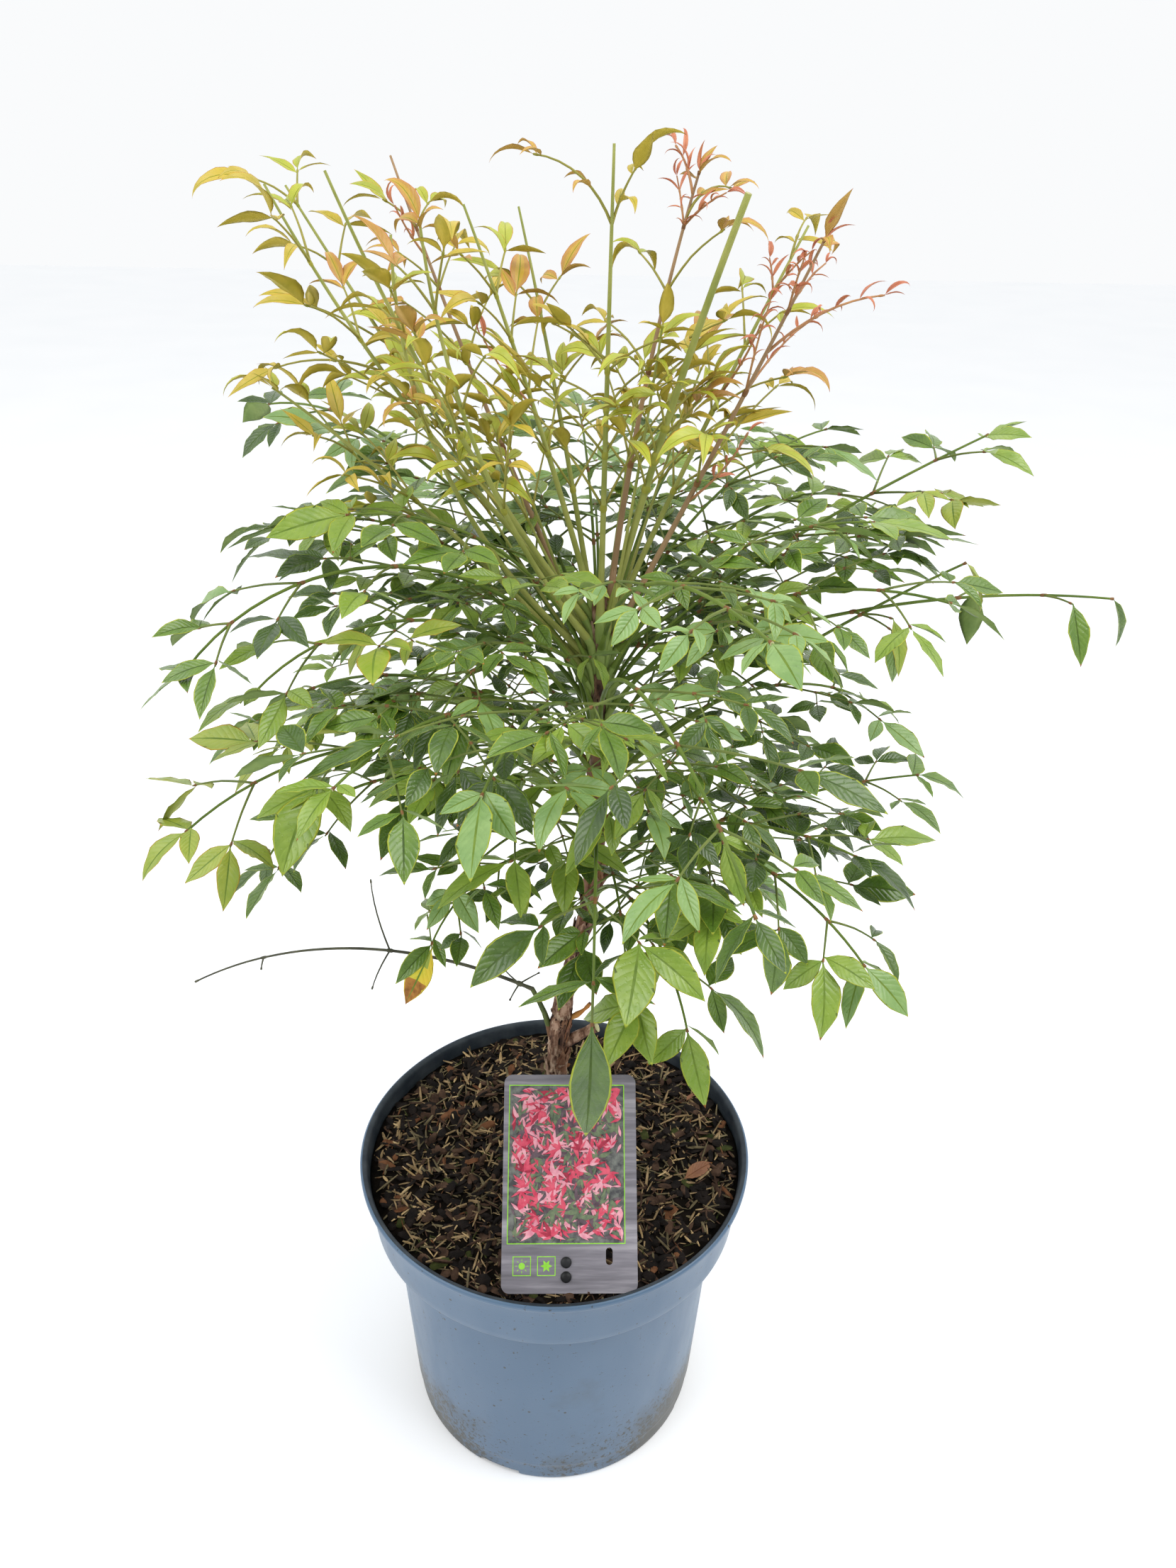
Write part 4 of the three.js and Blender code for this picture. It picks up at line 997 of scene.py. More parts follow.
PLAIN_TONES = {
    "margin_green": ((0.13, 0.21, 0.025), (0.2, 0.28, 0.035), 0.42, 120),
    "margin_lime": ((0.29, 0.36, 0.035), (0.4, 0.44, 0.05), 0.42, 120),
    "margin_straw": ((0.38, 0.3, 0.035), (0.48, 0.36, 0.05), 0.45, 120),
    "margin_bronze": ((0.5, 0.28, 0.03), (0.62, 0.38, 0.05), 0.45, 120),
    "margin_red": ((0.5, 0.16, 0.06), (0.62, 0.24, 0.09), 0.45, 120),
    "rib_dark": ((0.04, 0.08, 0.01), (0.07, 0.12, 0.016), 0.4, 120),
    "rib_pale": ((0.1, 0.17, 0.02), (0.16, 0.24, 0.03), 0.4, 120),
    "rib_young": ((0.2, 0.22, 0.012), (0.28, 0.28, 0.02), 0.45, 120),
    "rib_red": ((0.34, 0.09, 0.045), (0.46, 0.14, 0.06), 0.5, 120),
    "dead_rib": ((0.08, 0.03, 0.015), (0.14, 0.05, 0.02), 0.7, 120),
    "under_green": ((0.15, 0.23, 0.06), (0.22, 0.3, 0.085), 0.5, 90),
    "under_lime": ((0.32, 0.37, 0.06), (0.4, 0.43, 0.08), 0.5, 90),
    "under_young": ((0.4, 0.33, 0.04), (0.52, 0.4, 0.06), 0.5, 90),
    "under_amber": ((0.44, 0.26, 0.06), (0.55, 0.34, 0.09), 0.5, 90),
    "tip_brown": ((0.22, 0.09, 0.02), (0.42, 0.19, 0.04), 0.6, 300),
    "twig_green": ((0.11, 0.15, 0.035), (0.18, 0.22, 0.05), 0.5, 60),
    "twig_young": ((0.26, 0.25, 0.05), (0.36, 0.32, 0.07), 0.5, 60),
    "twig_red": ((0.36, 0.17, 0.08), (0.48, 0.25, 0.11), 0.5, 60),
    "joint_red": ((0.14, 0.065, 0.025), (0.24, 0.12, 0.04), 0.5, 200),
    "joint_young": ((0.25, 0.27, 0.04), (0.36, 0.33, 0.05), 0.5, 200),
    "stalk_green": ((0.085, 0.14, 0.02), (0.15, 0.21, 0.032), 0.45, 40),
    "stalk_lime": ((0.24, 0.27, 0.06), (0.36, 0.37, 0.1), 0.42, 40),
    "stalk_mauve": ((0.27, 0.17, 0.09), (0.36, 0.23, 0.12), 0.48, 40),
    "dead_stalk": ((0.4, 0.17, 0.04), (0.55, 0.27, 0.08), 0.6, 90),
    "cut_end": ((0.42, 0.42, 0.2), (0.55, 0.52, 0.28), 0.7, 500),
    "sheath_green": ((0.18, 0.26, 0.06), (0.28, 0.36, 0.1), 0.5, 80),
    "sheath_brown": ((0.14, 0.06, 0.035), (0.24, 0.13, 0.07), 0.6, 120),
    "bare_green": ((0.06, 0.085, 0.025), (0.11, 0.14, 0.04), 0.5, 90),
    "bare_wood": ((0.05, 0.05, 0.035), (0.11, 0.11, 0.07), 0.6, 90),
}
BLADE_PARTS = ("under", "margin", "rib", "tip")


def make_plant_materials():
    for name, (dark, light, rough, pucker) in LEAF_TONES.items():
        leaf = Surface(name)
        where = leaf.mottle(dark, light, rough, 90, 0.6)
        blade = leaf.bump(leaf.veins(), pucker, 0.0005)
        if not name.startswith("young"):  # drops of water
            cells = leaf.add("TexVoronoi", "Distance", Vector=where, Scale=420.0)
            leaf.bump(leaf.ranged(cells, 0.12, 0.3, 1, 0), 0.3, 0.0004, Normal=blade)
    for name, mottling in PLAIN_TONES.items():
        part = Surface(name)
        part.mottle(*mottling)
        if name.startswith(BLADE_PARTS):
            part.bump(part.veins(), 0.15, 0.0004)
        else:
            part.bump(part.noise(part.place((30, 0.6, 1), "UV"), 1.0, 2), 0.12, 0.0003)


def make_bark(name, shades, rough):
    """Streaks along the trunk over larger patches where the outer bark has come away."""
    bark = Surface(name)
    streaks = bark.noise(bark.place((1, 1, 0.28)), 420, 6, 0.65)
    patches = bark.noise(bark.place((1, 1, 0.6)), 130, 3, 0.5)
    field = bark.maths("MULTIPLY_ADD", bark.maths("SUBTRACT", patches, 0.5), 0.9, streaks)
    bark.shade(Base_Color=bark.ramp(field, *zip((0.34, 0.46, 0.56, 0.68), shades)),
               Roughness=bark.ranged(streaks, 0.3, 0.7, rough, rough - 0.2),
               Specular_IOR_Level=0.25)
    bark.bump(streaks, 0.8, 0.0015)


def make_grainy(name, mottling, grains, strength, distance, specular=0.2):
    """A mottled surface with fine grains in relief."""
    surface = Surface(name)
    where = surface.mottle(*mottling, specular)
    surface.bump(surface.noise(where, *grains), strength, distance)


def make_pot_plastic():
    pot = Surface("pot_plastic")
    where = pot.place()
    base = pot.ramp(pot.noise(where, 9, 3), (0.35, (0.069, 0.126, 0.206)),
                    (0.65, (0.08, 0.142, 0.226)))
    x, _, z = pot.axes(where)
    # Dust and splashes of compost gather at the foot, most of all on its two sides.
    specks = pot.noise(where, 330, 5, 0.7)
    clouds = pot.noise(where, 16, 4, 0.65)
    near_foot = pot.ranged(z, 0.002, 0.07, 1, 0)
    sides = pot.ranged(pot.maths("ABSOLUTE", x), 0.03, 0.095, 0, 0.3)
    heap = pot.maths("MULTIPLY", pot.maths("POWER", near_foot, 1.2),
                     pot.maths("ADD", pot.ranged(clouds, 0.3, 0.65, 0, 0.18), sides))
    grit = pot.ranged(pot.maths("ADD", specks, heap), 0.63, 0.69, 0, 0.95)
    haze = pot.ranged(pot.maths("ADD", clouds, pot.maths("MULTIPLY", heap, 1.6)), 0.58, 0.95, 0,
                      0.68)
    film = pot.maths("MAXIMUM", grit, haze)
    cells = pot.add("TexVoronoi", "Distance", Vector=where, Scale=130.0)
    chance = pot.add("SeparateColor", "Red", Color=cells.node.outputs["Color"])
    dots = pot.maths("MULTIPLY", pot.ranged(cells, 0.09, 0.14, 0.9, 0),
                     pot.maths("GREATER_THAN", chance, 0.88))
    mix = pot.add("Mix", 2, data_type="RGBA", Factor=pot.maths("MAXIMUM", film, dots))
    pot.feed(mix.node.inputs[6], base)
    pot.feed(mix.node.inputs[7], (0.034, 0.032, 0.02, 1))
    scuffs = pot.noise(pot.place((1, 1, 0.3)), 60, 3)
    pot.shade(Base_Color=mix, Roughness=pot.ranged(scuffs, 0.3, 0.7, 0.3, 0.4),
              Specular_IOR_Level=0.5)
    pot.bump(pot.noise(where, 900, 2), 0.1, 0.0003)


def make_card_wood():
    card = Surface("card_wood")
    planks = card.noise(card.place((0.07, 1, 1)), 150, 5, 0.6)
    card.shade(Base_Color=card.ramp(planks, (0.3, (0.09, 0.085, 0.098)), (0.5, (0.2, 0.188, 0.216)),
                                    (0.68, (0.36, 0.34, 0.375))), Roughness=0.28)
    card.bump(card.noise(card.place(), 700, 2), 0.05, 0.0002)


SOIL_TONES = {
    # The compost's own dark ground, darkened to near-black as painted shade in the gaps between
    # chips and splinters.
    "soil_ground": ((0.002, 0.0015, 0.001), (0.009, 0.006, 0.004), 0.95, 160),
    "chip_dark": ((0.005, 0.004, 0.0035), (0.017, 0.012, 0.01), 0.6, 150),
    "chip_brown": ((0.038, 0.022, 0.015), (0.1, 0.058, 0.038), 0.8, 150),
    "chip_red": ((0.09, 0.035, 0.016), (0.19, 0.085, 0.04), 0.8, 150),
    "chip_moss": ((0.022, 0.028, 0.008), (0.06, 0.068, 0.02), 0.85, 150),
    "straw": ((0.36, 0.24, 0.11), (0.62, 0.45, 0.24), 0.7, 150),
    "straw_gold": ((0.2, 0.135, 0.065), (0.4, 0.28, 0.15), 0.7, 150),
    "straw_olive": ((0.085, 0.068, 0.036), (0.2, 0.16, 0.09), 0.75, 150),
}
PRINT_TONES = {
    "print_green": ((0.25, 0.6, 0.05), (0.33, 0.72, 0.08)),
    "print_ground": ((0.07, 0.07, 0.075), (0.2, 0.21, 0.19)),
    "print_pink": ((0.56, 0.05, 0.1), (0.72, 0.12, 0.18)),
    "print_rose": ((0.68, 0.24, 0.32), (0.82, 0.42, 0.48)),
    "print_crimson": ((0.3, 0.025, 0.05), (0.46, 0.05, 0.09)),
    "print_leaf": ((0.1, 0.13, 0.09), (0.2, 0.25, 0.14)),
    "print_plum": ((0.09, 0.06, 0.075), (0.17, 0.12, 0.14)),
    "print_dark": ((0.012, 0.012, 0.014), (0.02, 0.02, 0.022)),
}
BARK_TONES = {
    "bark": ((0.04, 0.02, 0.013), (0.12, 0.06, 0.037), (0.22, 0.12, 0.075), (0.4, 0.26, 0.18)),
    # A darker copy of the bark: painted shade in the cracks.
    "bark_crack_shade": ((0.012, 0.007, 0.005), (0.025, 0.013, 0.009), (0.05, 0.026, 0.017),
                   (0.09, 0.05, 0.03)),
    # A paler copy of the bark: a painted highlight on the most raised bark, and the own paler tone
    # of some flakes.
    "bark_edge": ((0.14, 0.08, 0.05), (0.24, 0.15, 0.1), (0.36, 0.25, 0.17), (0.5, 0.37, 0.27)),
}

make_plant_materials()
for name, rough in (("bark", 0.9), ("bark_crack_shade", 0.95), ("bark_edge", 0.85)):
    make_bark(name, BARK_TONES[name], rough)
make_pot_plastic()
# The inside wall and the rim's inner slope are painted dark slate: mostly painted shade inside the
# pot, with a little dirt.
make_grainy("pot_inside_shade", ((0.022, 0.03, 0.04), (0.05, 0.06, 0.07), 0.45, 60), (500, 3), 0.2,
            0.0004)
for name, mottling in SOIL_TONES.items():
    make_grainy(name, mottling, (1500 if name == "soil_ground" else 900, 4, 0.7), 0.8, 0.001, 0.08)
make_card_wood()
for name, (dark, light) in PRINT_TONES.items():
    Surface(name).mottle(dark, light, 0.3, 260)
make_grainy("peg_black", ((0.012, 0.012, 0.013), (0.022, 0.022, 0.024), 0.42, 120), (800, 2), 0.15,
            0.0003)

# ---------------- foliage, stems and twigs
REGION_SLOTS = {"top": "young_foliage", "left": "foliage", "right": "foliage",
                "front": "front_foliage", "back": "foliage"}
SISTER_START, FILLER_START = 200, 400  # numbers that their random growth starts from


def inner_sides(plan):
    """On which sides of a frond a shorter one grows: both high up, one lower down."""
    if plan["name"] in LONE_FRONDS:
        return ()
    if plan["style"] == "young":
        return (1,) if plan["name"] in BUSHY_TOPS else ()
    return (-1, 1) if plan["foot"] > 530 else (1 if plan["foot"] % 20 < 10 else -1,)


def let_leaf_die(leaves, twigs):
    """The leaf nearest to a place moves there on a twig of its own, yellow, with a brown end."""
    spot = Vector(SPENT_ROOT)
    nearest = min(leaves, key=lambda leaf: (leaf["root"] - spot).length)
    start = nearest["root"]
    tube(twigs, [start, start.lerp(spot, 0.5) + UP * 3, spot], [0.5, 0.45, 0.4], "twig_green", 6)
    nearest.update(SPENT_LEAF, root=spot, **facing(heading(212, -60)))


def dress_region(region, plans, stems, twigs):
    """The joined leaves of one side of the crown, with the stems and twigs that carry them."""
    leaves = []

    def add_frond(plan, index, size):
        grown = grow_frond(plan, index)
        add_stem(stems, grown)
        grow_fine(grown, index, twigs, leaves, size)
        return grown

    for plan in plans:
        index = FRONDS.index(plan)
        grown = add_frond(plan, index, LARGE_LEAVES.get(plan["name"], 1))
        for side in inner_sides(plan):
            add_frond(sister(plan, index, side), SISTER_START + 2 * index + side, 0.92)
        for number, shoot in enumerate(SHOOTS):
            if shoot[0] == plan["name"]:
                grow_shoot(grown, number, twigs, leaves)
    for number, (side, *shape) in enumerate(FILLERS):
        if side == region:
            plan = frond("filler", "old", *shape, *FILLER_REACH, leaf=33)
            add_frond(plan, FILLER_START + number, 1.05)
    if region == SPENT_REGION:
        let_leaf_die(leaves, twigs)
    blades = Mesh()
    add_leaves(blades, leaves)
    blades.piece(f"leaves_{region}_1", REGION_SLOTS[region],
                 [f"foliage_{plan['name']}" for plan in plans])


stem_mesh, twig_mesh = Mesh(), Mesh()
for region, plans in REGIONS.items():
    dress_region(region, plans, stem_mesh, twig_mesh)
stem_mesh.piece("stems", "green_stem",
                [f"stalk_{plan['name']}" for plan in FRONDS if plan["stalk"]])
twig_mesh.piece("twigs", "green_stem")

# ---------------- trunk and bare twig
TRUNK_FOOT, TRUNK_TOP = 196, 592
TRUNK_SIDES = 60
TRUNK_RISE = 1.35
TRUNK_ROUNDING = 8  # height over which the trunk's end draws in
FOOT_FLARE = 3.0
KNUCKLE, KNUCKLE_HEIGHT, KNUCKLE_REACH = 1.1, 314, 22
CRACK_SHADE_LEVEL, HIGHLIGHT_LEVEL = -0.22, 0.62  # lifts of the bark below which a face takes painted shade in the cracks, and above which a painted highlight
SCARS = [213, 221, 228, 237, 245, 254, 262, 273, 284, 297, 318, 341, 366, 392, 420, 449, 478, 507,
         533]
SCAR_REACH = 12  # how far above and below it a scar shows
SHOOT_STEPS = 8
FLAKES = 58
FLAKE_TONES = [("dead_leaf", 0.2), ("sheath_brown", 0.3), ("bark_edge", 0.22), ("bark", 0.28)]
FLAKE_ROWS, FLAKE_COLUMNS = 6, 7
FLAKE_THICK = 0.35
# Withered leaves that still hang on the trunk: height, way and length.
HANGERS = [(432, -70, 13), (398, -120, 10), (505, -60, 11), (352, 60, 12)]
WITHERED_LEAF = dict(look="withered", tip=True, young=False, late=1.2)


def bark_lift(angle, z):
    """How far the bark stands out: flakes with cracks between, and a ledge at each leaf scar."""
    x, y = polar(6, angle)
    broad = noise.noise(Vector((x * 0.16, y * 0.16, z * 0.03)))
    plates = noise.noise(Vector((x * 0.34, y * 0.34, z * 0.085)))
    fine = noise.fractal(Vector((x * 0.7, y * 0.7, z * 0.3)), 0.8, 2.1, 3)
    crack = exp(-(plates / 0.07) ** 2)
    rough = 1.0 - 0.7 * smooth(z, 330, 440)
    ledge = 0
    for i, scar in enumerate(SCARS):
        if abs(z - scar) > SCAR_REACH:
            continue
        turn = i * 2.3
        edge = scar + 2.6 * sin(angle + turn) + 0.8 * sin(3 * angle + i)
        there = 0.45 + 0.55 * cos(angle - turn)
        ledge += there * (1.2 * exp(-((z - edge) / 1.1) ** 2)
                          - 0.7 * exp(-((z - edge + 3) / 1.6) ** 2))
    low = 1 + 0.6 * (1 - smooth(z, 250, 345))
    return ((0.65 * broad + 0.45 * fine - 0.95 * crack + 0.3) * rough * low
            + ledge * (0.4 + 0.75 * rough))


def build_trunk():
    mesh = Mesh()
    heights = np.arange(TRUNK_FOOT, TRUNK_TOP + TRUNK_RISE, TRUNK_RISE)
    points, lifts = [], []
    for z in heights:
        axis = trunk_axis(max(z, TRUNK_LINE[0][0]))
        flare = FOOT_FLARE * exp(-(z - TRUNK_FOOT) / 7)
        knuckle = KNUCKLE * exp(-((z - KNUCKLE_HEIGHT) / KNUCKLE_REACH) ** 2)
        rounding = max(z - (TRUNK_TOP - TRUNK_ROUNDING), 0) / TRUNK_ROUNDING
        for angle in bearings(TRUNK_SIDES):
            root = 1 + 0.3 * sin(3 * angle + 1) * exp(-(z - TRUNK_FOOT) / 9)
            lifts.append(bark_lift(angle, z))
            radius = (trunk_radius(z) + flare) * root + lifts[-1] + knuckle
            points.append((*polar(radius * (1 - 0.5 * rounding), angle, axis.x, axis.y), z))
    walls, low, high = ring_faces(len(heights), TRUNK_SIDES)
    # By how far each face stands out: painted shade in the cracks, plain bark, or a painted
    # highlight on the most raised bark.
    tones = np.array([mesh.tone(name) for name in ("bark_crack_shade", "bark", "bark_edge")])
    shades = tones[np.digitize(np.array(lifts)[walls].mean(1), (CRACK_SHADE_LEVEL, HIGHLIGHT_LEVEL))]
    ends = np.full(len(low), mesh.tone("bark"))
    mesh.add(points, [walls, low, high], [shades, ends, ends])
    for shoot, tone, sides, cap in ((BROKEN_SHOOT, "bark", 12, "cut_end"),
                                    (WITHERED_STALK, "dead_stalk", 8, "dead_leaf")):
        arc = Arc(shoot["start"], shoot["way"], shoot["rise"], shoot["fall"], 0, shoot["length"],
                  SHOOT_STEPS)
        thick, thin = shoot["radii"]
        radii = [thick + (thin - thick) * i / SHOOT_STEPS + 0.35 * sin(i * 1.9)
                 for i in range(SHOOT_STEPS + 1)]
        tube(mesh, arc.points, radii, tone, sides, tuple(arc.side(0)), cap=cap)
    return mesh


def flake_faces():
    """Faces of a flake: its outside, its back and the edge between them."""
    cells = np.arange(FLAKE_ROWS * FLAKE_COLUMNS).reshape(FLAKE_ROWS, FLAKE_COLUMNS)
    grid = np.stack([cells[:-1, :-1], cells[:-1, 1:], cells[1:, 1:], cells[1:, :-1]],
                    -1).reshape(-1, 4)
    rim = np.concatenate([cells[0], cells[1:, -1], cells[-1, -2::-1], cells[-2:0:-1, 0]])
    after = np.roll(rim, -1)
    edge = np.stack([after, rim, rim + cells.size, after + cells.size], -1)
    return np.concatenate([grid, grid[:, ::-1] + cells.size, edge])


def build_flakes():
    """Papery remains of old leaf sheaths, wrapped round the trunk and ragged at the top."""
    mesh, dice, faces = Mesh(), Dice(4242), flake_faces()
    for i in range(FLAKES):
        z = 210 + 354 * (i / FLAKES) ** 1.5 + dice.near(0, 6)
        tall, wide = dice.near(18, 8), dice.near(0.85, 0.45)
        turn = dice.roll() * 2 * pi
        lift = dice.near(1.5, 0.8)
        tone = dice.pick(FLAKE_TONES)
        outer, inner = [], []
        for share in np.arange(FLAKE_ROWS) / (FLAKE_ROWS - 1):
            for c in range(FLAKE_COLUMNS):
                side = 2 * c / (FLAKE_COLUMNS - 1) - 1
                angle = turn + side * wide * (1 - 0.45 * share ** 2)
                level = z + tall * share + 3.2 * sin(c * 2.3 + i) * share ** 3
                axis = trunk_axis(level)
                radius = (trunk_radius(level) + 0.75 + lift * share ** 2
                          - 0.9 * side ** 2 * (1 - share))
                outer.append((*polar(radius, angle, axis.x, axis.y), level))
                inner.append((*polar(radius - FLAKE_THICK, angle, axis.x, axis.y), level))
        mesh.add(outer + inner, [faces], tone)
    for z, way, size in HANGERS:
        along, across = heading(way, -62), heading(way + 90, 0)
        root = trunk_axis(z) + heading(way, 0) * (trunk_radius(z) + 0.8)
        add_leaves(mesh, [dict(WITHERED_LEAF, root=root, along=along, across=across,
                               face=across.cross(along), length=size, width=size * 0.42, curl=50,
                               fold=25, twist=20, wave=0.15, phase=z)])
    return mesh


def build_bare_twig():
    mesh = Mesh()
    plan, wood = BARE_TWIG, ("bare_wood", "bare_wood")
    arc = Arc(plan["knee"], plan["way"], plan["rise"], plan["fall"], plan["sweep"], plan["length"],
              FROND_STEPS)
    joints = sorted({spur[0] for spur in SPURS} | {0.995})
    limb(mesh, arc, joints, 30, (1.2, 0.5), *wood, swell=0.6, reach=2, sides=9, cap="cut_end")
    base, knee = frond_start(plan["foot"], plan["way"]), Vector(plan["knee"])
    out = heading(plan["way"], 0)
    lead = [base - UP * 12 - out * 0.8, base, base.lerp(knee, 0.35) - out * 0.8,
            base.lerp(knee, 0.75) - out * 0.6, knee, arc.at(0.03)]
    tube(mesh, lead, [1.3, 2.3, 1.75, 1.5, 1.55, 1.1],
         ["sheath_brown", "bare_green", "bare_green", "bare_green", "bare_wood"], 9,
         tuple(arc.side(0)), [0.7, 0.9, 1, 1, 1, 1])
    for t, way, tilt, bend, length in SPURS:
        spur = Arc(arc.at(t), way, tilt, tilt + bend, 0, length, 6)
        limb(mesh, spur, [0.97], 6, (0.6, 0.36), *wood, swell=0.9, reach=1.4)
    return mesh


build_trunk().piece("trunk_bark", "bark", ["trunk"])
build_flakes().piece("bark_flakes", "bark")
build_bare_twig().piece("bare_twig_fine", "dry_stem", ["bare_twig"])

# ---------------- pot
POT_SIDES = 192
POT_BANDS = 10  # stretches of the plain wall between foot and collar
POT_SHADE_FROM = 6  # how many of the rim's last rings already have the inside's painted shade
DRAIN_SIDES = 32
NOTCH_FLARE = 1.5
# Radius and height from the neck's top: up the collar's outside.
COLLAR = [(109.3, -2.2), (110.4, -1.4), (114, -1), (118.6, -0.6), (120.2, -0.3), (120.9, 0.5),
          (121.2, 1.6), (121.7, 6), (122.5, 15), (123.4, 24)]
# Radius and height from the pot's top: over the rim.
RIM = [(124.3, -9), (124.9, -6.5), (126.1, -5), (127.4, -4.1), (128, -3), (128, -1.4),
       (127.5, -0.5), (126.6, 0), (125.4, -0.1), (124.2, -0.6), (123.4, -1.8), (122.9, -4)]


def pot_place(r, angle, z):
    """Thin plastic is never quite round: its rim and collar wander a little."""
    share = smooth(z, 30, POT_HEIGHT) * smooth(r, 60, 95)
    warp = share * (0.5 * sin(2 * angle + 0.6) + 0.35 * sin(3 * angle - 1.1)
                    + 0.18 * sin(7 * angle))
    return *polar(r + warp, angle), z


def cut_away(body, cutters):
    """Cuts the other meshes out of a body, all in object data."""
    base = link("base", body)
    made = [link("cutter", data) for data in cutters]
    for cutter in made:
        change = base.modifiers.new("cut", "BOOLEAN")
        change.operation, change.solver, change.object = "DIFFERENCE", "EXACT", cutter
    result = baked(base)
    for thing in [base, *made]:
        bpy.data.objects.remove(thing)
    return result


def prism(points):
    """A body between two rings of equally many points, the lower one first."""
    n = len(points) // 2
    faces = [tuple(range(n - 1, -1, -1)), tuple(range(n, 2 * n))]
    return plain_mesh(points, faces + [(k, (k + 1) % n, n + (k + 1) % n, n + k) for k in range(n)])


def outward(angle):
    return Vector((cos(angle), sin(angle), 0))


def notch(angle):
    """A notch cutter that widens downwards."""
    out, side = outward(angle), UP.cross(outward(angle))
    return prism([out * (POT_BASE_RADIUS + a * NOTCH_DEPTH) + side * (b * half) + UP * z
                  for z, half in ((-NOTCH_HEIGHT, NOTCH_WIDTH / 2 + NOTCH_FLARE),
                                  (NOTCH_HEIGHT, NOTCH_WIDTH / 2))
                  for a, b in ((-1, -1), (1, -1), (1, 1), (-1, 1))])


def drain(angle):
    return prism([outward(angle) * DRAIN_RING + outward(turn) * DRAIN_RADIUS + UP * z
                  for z in (-5, 5) for turn in bearings(DRAIN_SIDES)])


def build_pot():
    """Turned from pairs of radius and height, up the outside and down the inside."""
    base, neck, foot = POT_BASE_RADIUS, POT_HEIGHT - POT_COLLAR_HEIGHT, POT_FOOT_LINE
    line = base + (POT_NECK_RADIUS - base) * foot / neck
    outside = [(0, 0), (60, 0), (base - 4, 0), (base - 2, 0), (base - 0.8, 0.5),
               (base - 0.2, 1.2), (base + 0.05, 2.2)]
    outside += [(base + 0.05 + (line - base) * i / 4, 2.2 + (foot - 2.4) * i / 4)
                for i in range(1, 5)]
    outside += [(line + 0.25, foot + 0.2), (line + 0.75, foot + 0.8)]
    outside += [(line + 0.8 + (POT_NECK_RADIUS - line - 1) * i / POT_BANDS,
                 foot + 1.5 + (neck - 4 - foot - 1.5) * i / POT_BANDS)
                for i in range(POT_BANDS + 1)]
    outside += [(r, neck + z) for r, z in COLLAR] + [(r, POT_HEIGHT + z) for r, z in RIM]
    inside = [(121.6, POT_HEIGHT - 16), (119.6, neck + 3.2), (118.6, neck + 2), (107, neck + 0.6),
              (base - POT_WALL, 4), (base - 4, POT_WALL), (40, POT_WALL), (0, POT_WALL)]
    profile = outside + inside
    mesh = Mesh()
    # From the rim's inner slope inward, every ring takes the inside's painted shade.
    blue = len(outside) - POT_SHADE_FROM
    tones = ["pot_plastic"] * blue + ["pot_inside_shade"] * (len(profile) - 3 - blue)
    add_skin(mesh, profile, POT_SIDES, pot_place, tones)
    made = mesh.piece("pot_shell", "pot_plastic", ["pot"])
    cutters = [notch(radians(NOTCH_TURN + 360 * i / NOTCH_COUNT)) for i in range(NOTCH_COUNT)]
    made.data = cut_away(made.data, cutters + [drain(angle) for angle in bearings(DRAIN_COUNT)])
    made.data.name = "pot_shell"
    made.data.shade_smooth()
    made.data.set_sharp_from_angle(angle=radians(40))


build_pot()

# ---------------- compost
SOIL_EDGE = 122
SOIL_SIDES = 160
SOIL_RINGS = 60
# Radius and height of the compost below its edge, down to its floor.
SOIL_BODY = [(118.2, 172.5), (106, 171), (105.5, 166), (95.5, 6), (94, 2.5),
             (0, 2.5)]
LITTER_EDGE, LITTER_REACH = 119, 121  # where splinters lie, and how far one may stand out
SPLINTER_STOPS = np.array([-0.5, -0.15, 0.25, 0.5])
SPLINTER_GIRTH = np.array([0.55, 1, 0.9, 0.45])
# Fallen leaves: foot, tip, width and how far the face leans over.
FALLEN = [((83.7, -25.8), (104.2, -12.5), 10, 0.25), ((92, 47), (101, 56), 5, -0.5)]
DRY_TWIG = ((60, 37, 0), (96, 51, 0))


def soil_height(x, y):
    r = hypot(x, y)
    lumps = (sin(x * 0.061 + 1.2) * cos(y * 0.053)
             + 0.5 * sin((x - y) * 0.12 + 0.4))
    level = SOIL_LEVEL + SOIL_MOUND * 0.6 * lumps * smooth(r, SOIL_SEAT, SOIL_SEAT + SOIL_FADE)
    crumbs = noise.fractal(Vector((x * 0.16, y * 0.16, 3)), 0.8, 2.2, 4)
    return level + 0.9 * crumbs * smooth(r, 6, 14) - 1.5 * smooth(r, 112, SOIL_EDGE)


def soil_place(r, angle, z):
    """A point of the compost: at a height, or on its surface."""
    x, y = polar(r, angle)
    return x, y, soil_height(x, y) if z is None else z


def build_soil():
    mesh = Mesh()
    surface = [(SOIL_EDGE * i / SOIL_RINGS, None) for i in range(SOIL_RINGS + 1)]
    # Its near-black tone is partly the compost's own colour and partly painted shade between the
    # litter.
    add_skin(mesh, surface + SOIL_BODY, SOIL_SIDES, soil_place, "soil_ground", downward=True)
    return mesh


